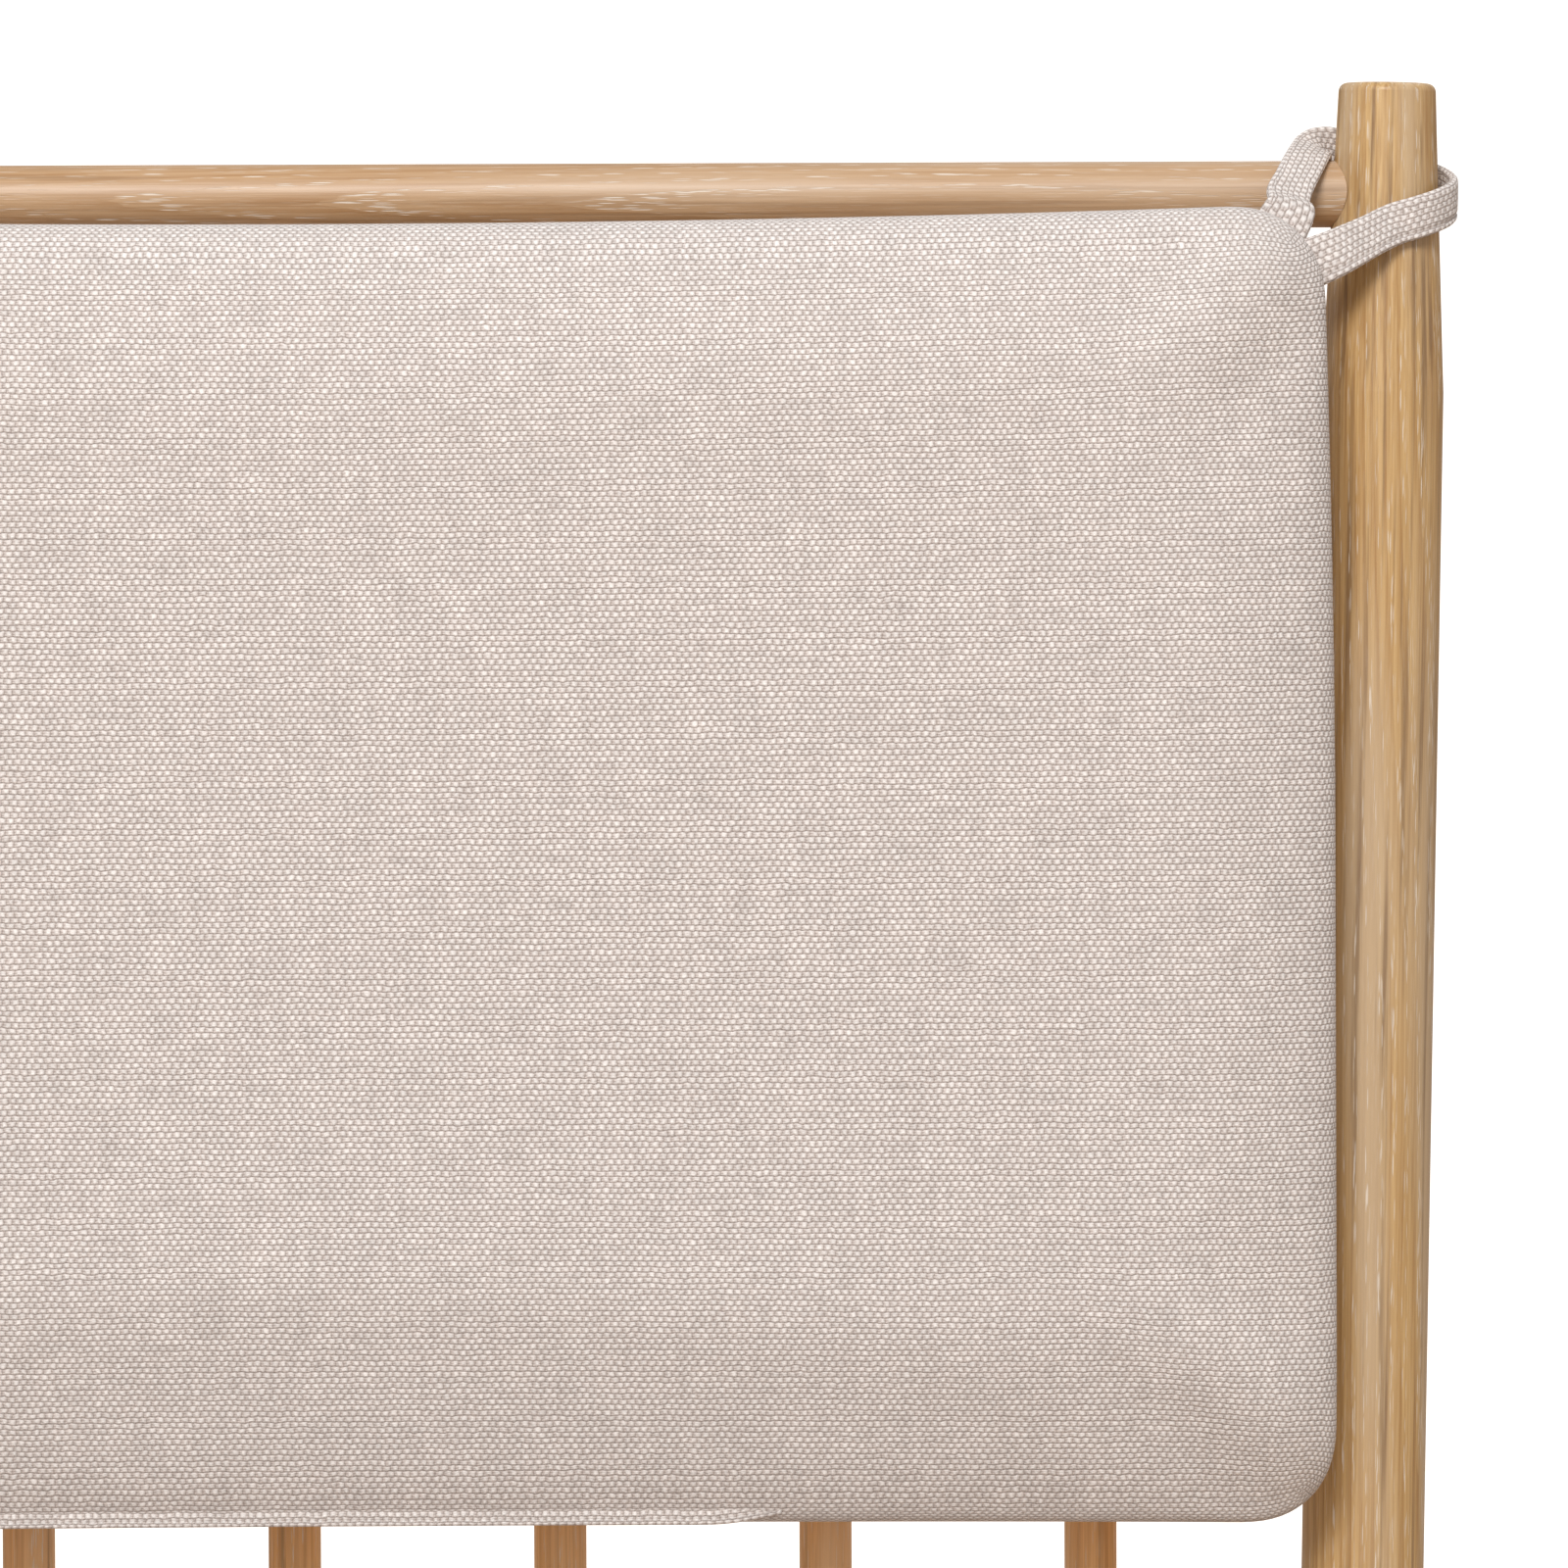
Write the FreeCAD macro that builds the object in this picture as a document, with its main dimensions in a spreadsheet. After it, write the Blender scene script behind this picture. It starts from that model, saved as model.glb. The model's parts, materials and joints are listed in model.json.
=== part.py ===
import FreeCAD, Part
import math
import os
import Sketcher

from FreeCAD import Placement, Rotation, Vector

# Spindle-back lounge armchair in solid oak, with a hung back cushion and a loose seat cushion.
#
# The chair is built from the ground up in a working frame: X to the right as the chair is seen
# from its front, Y to the rear, Z up, with Y = 0 on the axis of the front posts. Once every piece
# is in place, the whole chair is moved in Y so that its bounding box is centred on the origin.

SIZES = (
    # the two raked back posts, full length from the floor to their tips
    ("back_height", 945, "height of the back posts' tips above the floor"),
    ("recline", 12, "lean of the back from the vertical, degrees"),
    ("back_spread", 592, "between the back posts' axes at the floor"),
    ("splay", 1.07, "lean of each back post outwards, degrees"),
    ("post_dia", 35, "posts, full diameter"),
    ("tip_dia", 27.6, "back posts, diameter at the tip"),
    ("tip_length", 88, "back posts, length of the tapered tip"),
    ("tip_round", 2.5, "radius round the tip's edge"),
    ("foot_dia", 27, "all posts, diameter at the foot"),
    ("foot_length", 160, "all posts, length of the tapered foot"),
    # the two upright front posts
    ("front_spread", 624, "between the front posts' axes"),
    ("foot_spacing", 425, "front posts' axes to the back posts' axes at the floor"),
    ("front_tip_dia", 28, "front posts, diameter under the arm"),
    ("front_tip_length", 90, "front posts, length of the tapered tip"),
    # the back
    ("crest_dia", 19, "crest rail"),
    ("crest_drop", 31.5, "crest rail's axis below the post tips, along the back"),
    ("crest_tenon_dia", 13, "crest rail's tenons"),
    ("low_rail_dia", 22, "lower back rail"),
    ("low_rail_height", 352, "lower back rail's axis above the floor"),
    ("low_tenon_dia", 15, "lower back rail's tenons"),
    ("round_tenon_depth", 20, "round rail tenons, depth in a post"),
    ("spindle_dia", 15, "back spindles"),
    ("spindle_count", 7, "number of back spindles"),
    ("spindle_pitch", 76, "between back spindles"),
    ("spindle_tenon_dia", 10, "back spindles' tenons"),
    ("spindle_tenon", 12, "back spindles' tenons, depth in a rail"),
    ("spindle_taper", 55, "back spindles, length of each tapered end"),
    # the arms
    ("arm_front_height", 550, "middle of the arm over the front post"),
    ("arm_rear_height", 508, "middle of the arm at the back post"),
    ("arm_thick", 24, "arms"),
    ("arm_inner", 20, "arm's inner edge from the posts' line"),
    ("arm_outer", 36, "arm's outer edge from the posts' line"),
    ("arm_nose", 40, "arm's front end past the front post's axis"),
    ("arm_tail_half", 14, "half of the arm's width at the back post"),
    ("arm_narrowing", 150, "length over which the arm narrows to the back post"),
    ("arm_round", 8, "radius along the arm's edges"),
    ("arm_tenon_dia", 16, "arm's tenon in the back post"),
    ("arm_tenon_depth", 22, "arm's tenon, depth in the back post"),
    ("post_tenon_dia", 20, "front post's tenon through the arm"),
    ("wedge_thick", 3, "arm wedge at its top"),
    ("wedge_length", 20, "arm wedge, length"),
    # the seat frame
    ("deck_height", 322, "top of the slats above the floor, at the front posts"),
    ("seat_pitch", 3, "fall of the seat towards the rear, degrees"),
    ("rail_drop", 2.5, "seat rails' top below the top of the slats"),
    ("rail_deep", 58, "seat rails, height"),
    ("rail_thick", 22, "front and rear seat rails, thickness"),
    ("side_rail_thick", 24, "side seat rails, thickness"),
    ("rail_round", 4, "radius along the seat rails' edges"),
    ("tenon_thick", 10, "seat rail tenons, thickness"),
    ("tenon_deep", 36, "seat rail tenons, height"),
    ("tenon_depth", 11, "seat rail tenons, depth in a post"),
    ("glue_gap", 0.1, "room for glue round every tenon"),
    ("end_gap", 1, "room past the end of every tenon"),
    # the slats and what holds them
    ("slat_count", 8, "number of seat slats"),
    ("slat_wide", 45, "seat slats, width"),
    ("slat_thick", 10, "seat slats, thickness"),
    ("slat_margin", 12, "outer slats to the seat rails"),
    ("slat_end_gap", 1, "slat's end to the side rail"),
    ("slat_round", 2, "radius along the slats' edges"),
    ("cleat_side", 18, "seat cleats, square section"),
    ("cleat_end_gap", 5, "cleat's end to the posts"),
    ("screw_dia", 4, "wood screws, shank"),
    ("screw_head_dia", 8, "wood screws, head"),
    ("screw_head_deep", 2.4, "wood screws, depth of the conical head"),
    ("screw_head_rim", 0.3, "wood screws, rim of the head above its cone"),
    ("screw_sink", 0.6, "wood screws, foot of the rim below the wood"),
    ("screw_length", 25, "wood screws, length"),
    ("screw_gap", 0.05, "room round a screw or bolt"),
    # the bolts of the front and rear seat rails
    ("bolt_dia", 6, "rail bolts, shank"),
    ("bolt_length", 60, "rail bolts, shank length"),
    ("bolt_head_dia", 10, "rail bolts, head"),
    ("bolt_head_deep", 6, "rail bolts, head height"),
    ("bolt_socket", 5, "rail bolts, hexagon socket across the corners"),
    ("bolt_socket_deep", 3, "rail bolts, depth of the socket"),
    ("counterbore", 11, "depth of the bolt's counterbore in the post"),
    ("nut_dia", 10, "barrel nuts"),
    ("nut_length", 15, "barrel nuts, length"),
    ("nut_inset", 12, "bolt's end past the middle of the barrel nut"),
    ("button_dia", 12, "cover buttons"),
    ("button_proud", 1.2, "cover buttons, height proud of the post"),
    ("button_round", 1.8, "radius round the cover buttons' face"),
    # the stretchers
    ("stretcher_height", 168, "side stretchers' axes above the floor, at the front"),
    ("stretcher_rear_height", 180, "side stretchers' axes above the floor, at the rear"),
    ("stretcher_dia", 22, "stretchers at the middle"),
    ("stretcher_tenon_dia", 14, "side stretchers' tenons"),
    ("stretcher_tenon", 18, "side stretchers' tenons, depth in a post"),
    ("stretcher_taper", 110, "stretchers, length of each tapered end"),
    ("cross_tenon_dia", 12, "cross stretcher's tenons"),
    ("cross_tenon", 13, "cross stretcher's tenons, depth in a side stretcher"),
    # the glides under the feet
    ("glide_dia", 22, "glides"),
    ("glide_thick", 4, "glides, thickness"),
    ("glide_round", 1.2, "radius round the glides' lower edge"),
    ("nail_dia", 3, "glides' nails"),
    ("nail_length", 14, "glides' nails, length"),
    # the cushions
    ("cover_wall", 1.5, "cushion covers, thickness of the cloth"),
    ("foam_gap", 0.2, "cover to foam"),
    ("back_cushion_wide", 596, "back cushion, width"),
    ("back_cushion_high", 377, "back cushion, height"),
    ("back_cushion_thick", 50, "back cushion, thickness"),
    ("back_cushion_drop", 33, "back cushion's top below the post tips"),
    ("back_cushion_gap", 0.7, "back cushion to the crest rail's front"),
    ("back_cushion_corner", 26, "back cushion, corner radius"),
    ("back_cushion_round", 22, "back cushion, radius round its faces"),
    ("seat_cushion_wide", 566, "seat cushion, width"),
    ("seat_cushion_thick", 85, "seat cushion, thickness"),
    ("seat_cushion_nose", 25, "seat cushion's front past the front posts' axes"),
    ("seat_cushion_rear_gap", 8, "seat cushion's rear to the lower back rail"),
    ("seat_cushion_corner", 34, "seat cushion, corner radius"),
    ("seat_cushion_round", 24, "seat cushion, radius round its faces"),
    ("cushion_rest", 0.5, "seat cushion's underside to the slats"),
    ("zip_wide", 5, "zips, width of the chain"),
    ("zip_length", 260, "back cushion's zip"),
    ("seat_zip_length", 420, "seat cushion's zip"),
    # the cloth loops that hang the back cushion from the post tips
    ("strap_wide", 12, "loops, width of the strap"),
    ("strap_thick", 2.6, "loops, thickness of the folded strap"),
    ("strap_slack", 1.6, "loop to the post at the loop's lowest edge"),
    ("strap_front_drop", 40.5, "loop below the post's tip, in front of the post"),
    ("strap_back_drop", 22.5, "loop below the post's tip, behind the post"),
    ("strap_inner_drop", 14.5, "loop below the post's tip, over the crest rail"),
    ("strap_outer_seam", 66, "outer end's place round the cushion's corner, degrees from the top"),
    ("strap_inner_seam", 28, "inner end's place round the cushion's corner, degrees from the top"),
    ("strap_seam_set", 4.7, "ends of the loop behind the middle of the cushion's edge"),
    ("strap_seam_gap", 1.4, "ends of the loop to the cushion"),
)

doc = FreeCAD.newDocument("Armchair")
sheet = doc.addObject("Spreadsheet::Sheet", "Sizes")
for row, (alias, value, note) in enumerate(SIZES, start=1):
    sheet.set(f"A{row}", note)
    sheet.set(f"B{row}", str(value))
    sheet.setAlias(f"B{row}", alias)
doc.recompute()


def size(alias):
    """The value of a named cell of the sheet."""
    return float(sheet.get(alias))


ALONG_X = Vector(1, 0, 0)
ALONG_Y = Vector(0, 1, 0)
ALONG_Z = Vector(0, 0, 1)
X_TO_Z = Rotation(ALONG_Y, 90)
SIDES = (("left", -1), ("right", 1))
STRAP_STEPS = 11
STRAP_TAIL_STEPS = 4


# ---------------------------------------------------------------------------------------------
# general makers


def move(x=0.0, y=0.0, z=0.0, turn=None):
    return Placement(Vector(x, y, z), turn or Rotation())


def bind(thing, **expressions):
    """Ties properties of an object to cells of the sheet."""
    for prop, expression in expressions.items():
        thing.setExpression(prop, expression)
    return thing


def edges_where(shape, test):
    return [f"Edge{i}" for i, edge in enumerate(shape.Edges, start=1) if test(edge)]


def outline_sketch(body, role, points):
    """A closed outline of straight lines whose corners are tied to expressions of the sheet."""
    plane = next(f for f in body.Origin.OriginFeatures if f.Role == role)
    sketch = body.newObject("Sketcher::SketchObject", body.Name + "_outline")
    sketch.AttachmentSupport = (plane, [""])
    sketch.MapMode = "FlatFace"
    for i in range(len(points)):
        start = Vector(i, i * i, 0)
        end = Vector(i + 1, (i + 1) ** 2, 0)
        sketch.addGeometry(Part.LineSegment(start, end), False)
    for i in range(len(points)):
        after = (i + 1) % len(points)
        sketch.addConstraint(Sketcher.Constraint("Coincident", i, 2, after, 1))
    for i, corner in enumerate(points):
        for kind, axis, expression in zip(("DistanceX", "DistanceY"), (-2, -1), corner):
            if expression == "0":
                sketch.addConstraint(Sketcher.Constraint("PointOnObject", i, 1, axis))
                continue
            made = sketch.addConstraint(Sketcher.Constraint(kind, -1, 1, i, 1, 1.0 + i))
            sketch.setExpression(f"Constraints[{made}]", expression)
    return sketch


def turned(name, outline, place):
    """A piece turned on a lathe: an outline of (radius, height) spun round its own Z axis."""
    body = doc.addObject("PartDesign::Body", name)
    sketch = outline_sketch(body, "XZ_Plane", outline)
    spin = body.newObject("PartDesign::Revolution", name + "_turning")
    spin.Profile = sketch
    spin.ReferenceAxis = (sketch, ["V_Axis"])
    spin.Angle = 360
    body.Placement = place
    doc.recompute()
    return body


def round_edges(body, name, radius, test):
    """Rounds the edges of a body's last feature that pass the test."""
    fillet = body.newObject("PartDesign::Fillet", name)
    base = body.Tip if body.Tip != fillet else fillet.BaseFeature
    fillet.Base = (base, edges_where(base.Shape, test))
    bind(fillet, Radius=radius)
    body.Tip = fillet
    doc.recompute()
    return body


def block(name, wide, deep, high, place):
    """A box centred on its own origin, its sizes tied to the sheet."""
    box = doc.addObject("Part::Box", name)
    bind(box, Length=wide, Width=deep, Height=high)
    doc.recompute()
    middle = move(-box.Length.Value / 2, -box.Width.Value / 2, -box.Height.Value / 2)
    box.Placement = place * middle
    return box


def rod(name, radius, length, place):
    """A round bar centred on its own origin, lying along its own Z axis."""
    bar = doc.addObject("Part::Cylinder", name)
    bind(bar, Radius=radius, Height=length)
    doc.recompute()
    bar.Placement = place * move(z=-bar.Height.Value / 2)
    return bar


def joined(name, pieces):
    fuse = doc.addObject("Part::MultiFuse", name)
    fuse.Shapes = pieces
    return fuse


def shared(name, base, tool):
    common = doc.addObject("Part::Common", name)
    common.Base = base
    common.Tool = tool
    return common


def cut(name, base, tools):
    """The base less all the tools."""
    result = doc.addObject("Part::Cut", name)
    result.Base = base
    result.Tool = tools[0] if len(tools) == 1 else joined(name + "_tools", tools)
    doc.recompute()
    return result


def group(name, pieces):
    """Separate solids kept together as one sub-part."""
    bundle = doc.addObject("Part::Compound", name)
    bundle.Links = pieces
    return bundle


def softened(name, box, radius, along):
    """A box with its long edges rounded; along is the direction of its length in its own frame."""
    fillet = doc.addObject("Part::Fillet", name)
    fillet.Base = box
    direction = box.Placement.Rotation.multVec(along)
    long_edges = [
        (i, size(radius), size(radius))
        for i, edge in enumerate(box.Shape.Edges, start=1)
        if abs(edge.tangentAt(edge.FirstParameter).dot(direction)) > 0.999
    ]
    fillet.Edges = long_edges
    doc.recompute()
    return fillet


def cushion_block(name, wide, high, thick, corner, edge, place):
    """A pad lying in its own XZ plane, with rounded corners and rounded faces."""
    body = doc.addObject("PartDesign::Body", name)
    half_wide = f"({wide}) / 2"
    half_high = f"({high}) / 2"
    sketch = outline_sketch(
        body,
        "XZ_Plane",
        (
            (f"-{half_wide}", f"-{half_high}"),
            (half_wide, f"-{half_high}"),
            (half_wide, half_high),
            (f"-{half_wide}", half_high),
        ),
    )
    pad = body.newObject("PartDesign::Pad", name + "_pad")
    pad.Profile = sketch
    pad.SideType = "Symmetric"
    bind(pad, Length=thick)
    doc.recompute()
    round_edges(
        body,
        name + "_corners",
        corner,
        lambda e: abs(e.tangentAt(e.FirstParameter).y) > 0.999,
    )
    round_edges(
        body,
        name + "_faces",
        edge,
        lambda e: e.BoundBox.YLength < 0.001,
    )
    body.Placement = place
    return body


# ---------------------------------------------------------------------------------------------
# the frames that the pieces are set out in

recline = math.radians(size("recline"))
splay = math.radians(size("splay"))
pitch = math.radians(size("seat_pitch"))
post_radius = size("post_dia") / 2

# The back's frame: its origin on the floor under the back posts, Z up along the back, and Y
# square to it, to the rear.
back = move(y=size("foot_spacing"), turn=Rotation(ALONG_X, -size("recline")))
back_length = size("back_height") / math.cos(recline)
crest_level = back_length - size("crest_drop")
low_level = size("low_rail_height") / math.cos(recline)

# The seat's frame: its origin between the front posts at the top of the slats, Y to the rear
# along the slats, and Z square to them.
seat = move(z=size("deck_height"), turn=Rotation(ALONG_X, -size("seat_pitch")))


def back_post_frame(side):
    """A back post's own frame, on its axis at the floor, with Z along the post."""
    start = Vector(side * size("back_spread") / 2, 0, 0)
    return back * Placement(start, Rotation(ALONG_Y, side * size("splay")))


def back_post_x(level):
    """How far a back post's axis is from the middle of the chair, at a level along the back."""
    return size("back_spread") / 2 + level * math.tan(splay)


def back_post_point(side, level):
    return back.multVec(Vector(side * back_post_x(level), 0, level))


def back_post_in(frame, side, height):
    """The point of a back post's axis that lies at a height in another frame, in that frame."""
    into = frame.inverse()
    low = into.multVec(back_post_point(side, 0))
    high = into.multVec(back_post_point(side, 1))
    level = (height - low.z) / (high.z - low.z)
    return into.multVec(back_post_point(side, level))


def line_frame(start, end, up=ALONG_Z):
    """A frame at start, with Y towards end and Z as near to up as it can be."""
    return Placement(start, Rotation(up.cross(end - start), end - start, up, "YZX"))


# ---------------------------------------------------------------------------------------------
# the posts, as turned, before any joint is cut in them


def back_post_blank(name, side):
    length = "Sizes.back_height / cos(Sizes.recline * 1deg) / cos(Sizes.splay * 1deg)"
    blank = turned(
        name + "_blank",
        (
            ("0", "-Sizes.foot_dia"),
            ("Sizes.foot_dia / 2", "-Sizes.foot_dia"),
            ("Sizes.foot_dia / 2", "0"),
            ("Sizes.post_dia / 2", "Sizes.foot_length"),
            ("Sizes.post_dia / 2", f"{length} - Sizes.tip_length"),
            ("Sizes.tip_dia / 2", length),
            ("0", length),
        ),
        back_post_frame(side),
    )
    top = blank.Tip.Shape.BoundBox.ZMax
    return round_edges(
        blank,
        name + "_tip_round",
        "Sizes.tip_round",
        lambda e: e.BoundBox.ZMin > top - 0.001 and e.Length > size("tip_dia"),
    )


def front_post_blank(name, side):
    return turned(
        name + "_blank",
        (
            ("0", "0"),
            ("Sizes.foot_dia / 2", "0"),
            ("Sizes.post_dia / 2", "Sizes.foot_length"),
            ("Sizes.post_dia / 2", "Sizes.arm_front_height - Sizes.front_tip_length"),
            ("Sizes.front_tip_dia / 2", "Sizes.arm_front_height"),
            ("0", "Sizes.arm_front_height"),
        ),
        move(x=side * size("front_spread") / 2),
    )


back_blank = {side: back_post_blank(f"back_post_{label}", side) for label, side in SIDES}
front_blank = {side: front_post_blank(f"front_post_{label}", side) for label, side in SIDES}
back_blanks = list(back_blank.values())
front_blanks = list(front_blank.values())

# Everything below the glides' upper face is trimmed off the posts.
under_glides = block(
    "under_glides",
    "2 * Sizes.front_spread",
    "4 * Sizes.foot_spacing",
    "2 * Sizes.foot_dia",
    move(z=size("glide_thick") - size("foot_dia")),
)

cuts_in = {piece.Name: [under_glides] for piece in back_blanks + front_blanks}
parts = []


def finish(piece, label):
    """Names a finished sub-part and puts it on the list of what is written out."""
    piece.Label = label
    parts.append(piece)
    return piece


# ---------------------------------------------------------------------------------------------
# the back: crest rail, lower rail and spindles


def round_rail(name, level, diameter, tenon_diameter):
    """A round rail between the back posts, coped to them, with a tenon in each."""
    half = back_post_x(level)
    across = back * move(z=level, turn=X_TO_Z)
    stock = rod(name + "_stock", f"{diameter} / 2", f"{2 * half}", across)
    coped = cut(name + "_coped", stock, back_blanks)
    reach = half - post_radius + size("round_tenon_depth")
    tenons = rod(name + "_tenons", f"{tenon_diameter} / 2", f"{2 * reach}", across)
    bore = rod(
        name + "_bore",
        f"{tenon_diameter} / 2 + Sizes.glue_gap",
        f"{2 * reach} + 2 * Sizes.end_gap",
        across,
    )
    for blank in back_blanks:
        cuts_in[blank.Name].append(bore)
    return joined(name + "_whole", [coped, tenons])


crest = round_rail("crest_rail", crest_level, "Sizes.crest_dia", "Sizes.crest_tenon_dia")
low_rail = round_rail("lower_back_rail", low_level, "Sizes.low_rail_dia", "Sizes.low_tenon_dia")

spindle_count = int(size("spindle_count"))
spindle_low = low_level + size("low_rail_dia") / 2 - size("spindle_tenon")
spindle_high = crest_level - size("crest_dia") / 2 + size("spindle_tenon")
spindle_length = spindle_high - spindle_low
spindle_bores = {"crest": [], "low": []}
for number in range(1, spindle_count + 1):
    x = (number - (spindle_count + 1) / 2) * size("spindle_pitch")
    tenon = "Sizes.spindle_tenon"
    taper_end = "Sizes.spindle_tenon + Sizes.spindle_taper"
    spindle = turned(
        f"back_spindle_{number}_turned",
        (
            ("0", "0"),
            ("Sizes.spindle_tenon_dia / 2", "0"),
            ("Sizes.spindle_tenon_dia / 2", tenon),
            ("Sizes.spindle_dia / 2", taper_end),
            ("Sizes.spindle_dia / 2", f"{spindle_length} - ({taper_end})"),
            ("Sizes.spindle_tenon_dia / 2", f"{spindle_length} - {tenon}"),
            ("Sizes.spindle_tenon_dia / 2", f"{spindle_length}"),
            ("0", f"{spindle_length}"),
        ),
        back * move(x=x, z=spindle_low),
    )
    finish(spindle, f"back_spindle_{number}")
    shoulders = {
        "low": spindle_low + size("spindle_tenon"),
        "crest": spindle_high - size("spindle_tenon"),
    }
    for rail, shoulder in shoulders.items():
        bore = rod(
            f"spindle_{number}_{rail}_bore",
            "Sizes.spindle_tenon_dia / 2 + Sizes.glue_gap",
            "2 * (Sizes.spindle_tenon + Sizes.end_gap)",
            back * move(x=x, z=shoulder),
        )
        spindle_bores[rail].append(bore)
finish(cut("crest_rail_cut", crest, spindle_bores["crest"]), "crest_rail")
finish(cut("lower_back_rail_cut", low_rail, spindle_bores["low"]), "lower_back_rail")


# ---------------------------------------------------------------------------------------------
# the arms, with the front posts' tenons and wedges


def arm_outline(side):
    """The arm from above: X outwards, Y from the front post to the back post."""
    inner = f"{-side} * Sizes.arm_inner"
    outer = f"{side} * Sizes.arm_outer"
    return inner, outer


arm_line = {}
for label, side in SIDES:
    front_end = Vector(side * size("front_spread") / 2, 0, size("arm_front_height"))
    rear_level = size("arm_rear_height") / math.cos(recline)
    rear_end = back_post_point(side, rear_level)
    arm_frame = line_frame(front_end, rear_end)
    arm_length = (rear_end - front_end).Length
    arm_line[side] = (arm_frame, arm_length)

    inner, outer = arm_outline(side)
    tail_inner = f"{-side} * Sizes.arm_tail_half"
    tail_outer = f"{side} * Sizes.arm_tail_half"
    narrows = f"{arm_length} - Sizes.arm_narrowing"
    board = doc.addObject("PartDesign::Body", f"arm_{label}_board")
    outline = outline_sketch(
        board,
        "XY_Plane",
        (
            (inner, "-Sizes.arm_nose"),
            (outer, "-Sizes.arm_nose"),
            (outer, narrows),
            (tail_outer, f"{arm_length}"),
            (tail_inner, f"{arm_length}"),
            (inner, narrows),
        ),
    )
    pad = board.newObject("PartDesign::Pad", f"arm_{label}_pad")
    pad.Profile = outline
    pad.SideType = "Symmetric"
    bind(pad, Length="Sizes.arm_thick")
    doc.recompute()
    nose_y = -size("arm_nose")
    narrows_y = arm_length - size("arm_narrowing")
    round_edges(
        board,
        f"arm_{label}_nose",
        "(Sizes.arm_inner + Sizes.arm_outer) / 2 - 1",
        lambda e: e.BoundBox.ZLength > 1 and abs(e.BoundBox.YMin - nose_y) < 0.01,
    )
    round_edges(
        board,
        f"arm_{label}_shoulders",
        "2 * Sizes.arm_narrowing",
        lambda e: e.BoundBox.ZLength > 1 and abs(e.BoundBox.YMin - narrows_y) < 0.01,
    )
    round_edges(
        board,
        f"arm_{label}_edges",
        "Sizes.arm_round",
        lambda e: e.BoundBox.ZLength < 0.001 and e.BoundBox.YMin < arm_length - 1,
    )
    board.Placement = arm_frame
    doc.recompute()

    # the tail is coped to the back post and carries a tenon into it
    coped = cut(f"arm_{label}_coped", board, [back_blank[side]])
    tail = arm_length - post_radius + size("arm_tenon_depth")
    root = arm_length - size("arm_narrowing") / 2
    tenon_place = arm_frame * move(y=(root + tail) / 2, turn=Rotation(ALONG_X, -90))
    tenon_length = tail - root
    tenon = rod(f"arm_{label}_tenon", "Sizes.arm_tenon_dia / 2", f"{tenon_length}", tenon_place)
    cuts_in[back_blank[side].Name].append(
        rod(
            f"arm_{label}_mortise",
            "Sizes.arm_tenon_dia / 2 + Sizes.glue_gap",
            f"{tenon_length} + 2 * Sizes.end_gap",
            tenon_place,
        )
    )

    # the front post's tenon goes right through and is spread by a wedge from above
    upright = move(front_end.x, 0, front_end.z)
    bore = rod(
        f"arm_{label}_bore",
        "Sizes.post_tenon_dia / 2 + Sizes.glue_gap",
        "4 * Sizes.arm_thick",
        upright,
    )
    whole = joined(f"arm_{label}_whole", [coped, tenon])
    finish(cut(f"arm_{label}_cut", whole, [bore]), f"arm_{label}")

    over_arm = block(
        f"over_arm_{label}",
        "3 * Sizes.arm_thick",
        "3 * Sizes.arm_thick",
        "3 * Sizes.arm_thick",
        arm_frame * move(z=size("arm_thick") * 2),
    )
    shank = rod(
        f"front_post_{label}_tenon_stock",
        "Sizes.post_tenon_dia / 2",
        "3 * Sizes.arm_thick",
        upright,
    )
    wedge_body = doc.addObject("PartDesign::Body", f"arm_wedge_{label}_stock")
    wedge_tip = "Sizes.arm_thick / 2 - Sizes.wedge_length"
    wedge_top = "Sizes.arm_thick"
    wedge_outline = outline_sketch(
        wedge_body,
        "YZ_Plane",
        (
            ("0", wedge_tip),
            ("Sizes.wedge_thick / 2", wedge_top),
            ("-Sizes.wedge_thick / 2", wedge_top),
        ),
    )
    wedge_pad = wedge_body.newObject("PartDesign::Pad", f"arm_wedge_{label}_pad")
    wedge_pad.Profile = wedge_outline
    wedge_pad.SideType = "Symmetric"
    bind(wedge_pad, Length="2 * Sizes.post_tenon_dia")
    wedge_body.Placement = upright
    doc.recompute()
    in_tenon = shared(f"arm_wedge_{label}_round", wedge_body, shank)
    finish(cut(f"arm_wedge_{label}_cut", in_tenon, [over_arm]), f"arm_wedge_{label}")

    # the post's shoulder is fitted to the arm's underside
    shouldered = cut(f"front_post_{label}_shouldered", front_blank[side], [board, over_arm])
    post_tenon = cut(f"front_post_{label}_tenon", shank, [over_arm, wedge_body])
    front_blank[side] = joined(f"front_post_{label}_whole", [shouldered, post_tenon])
    cuts_in[front_blank[side].Name] = cuts_in.pop(f"front_post_{label}_blank")


# ---------------------------------------------------------------------------------------------
# the seat frame: four rails, tenoned and bolted to the posts


def tenon_bar(name, length, grow, place):
    """A flat bar along X or Y that ends as a tenon at each end, or the mortises for it."""
    return block(
        name,
        f"Sizes.tenon_thick + 2 * {grow}",
        length,
        f"Sizes.tenon_deep + 2 * {grow}",
        place,
    )


rail_stock = []


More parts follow.
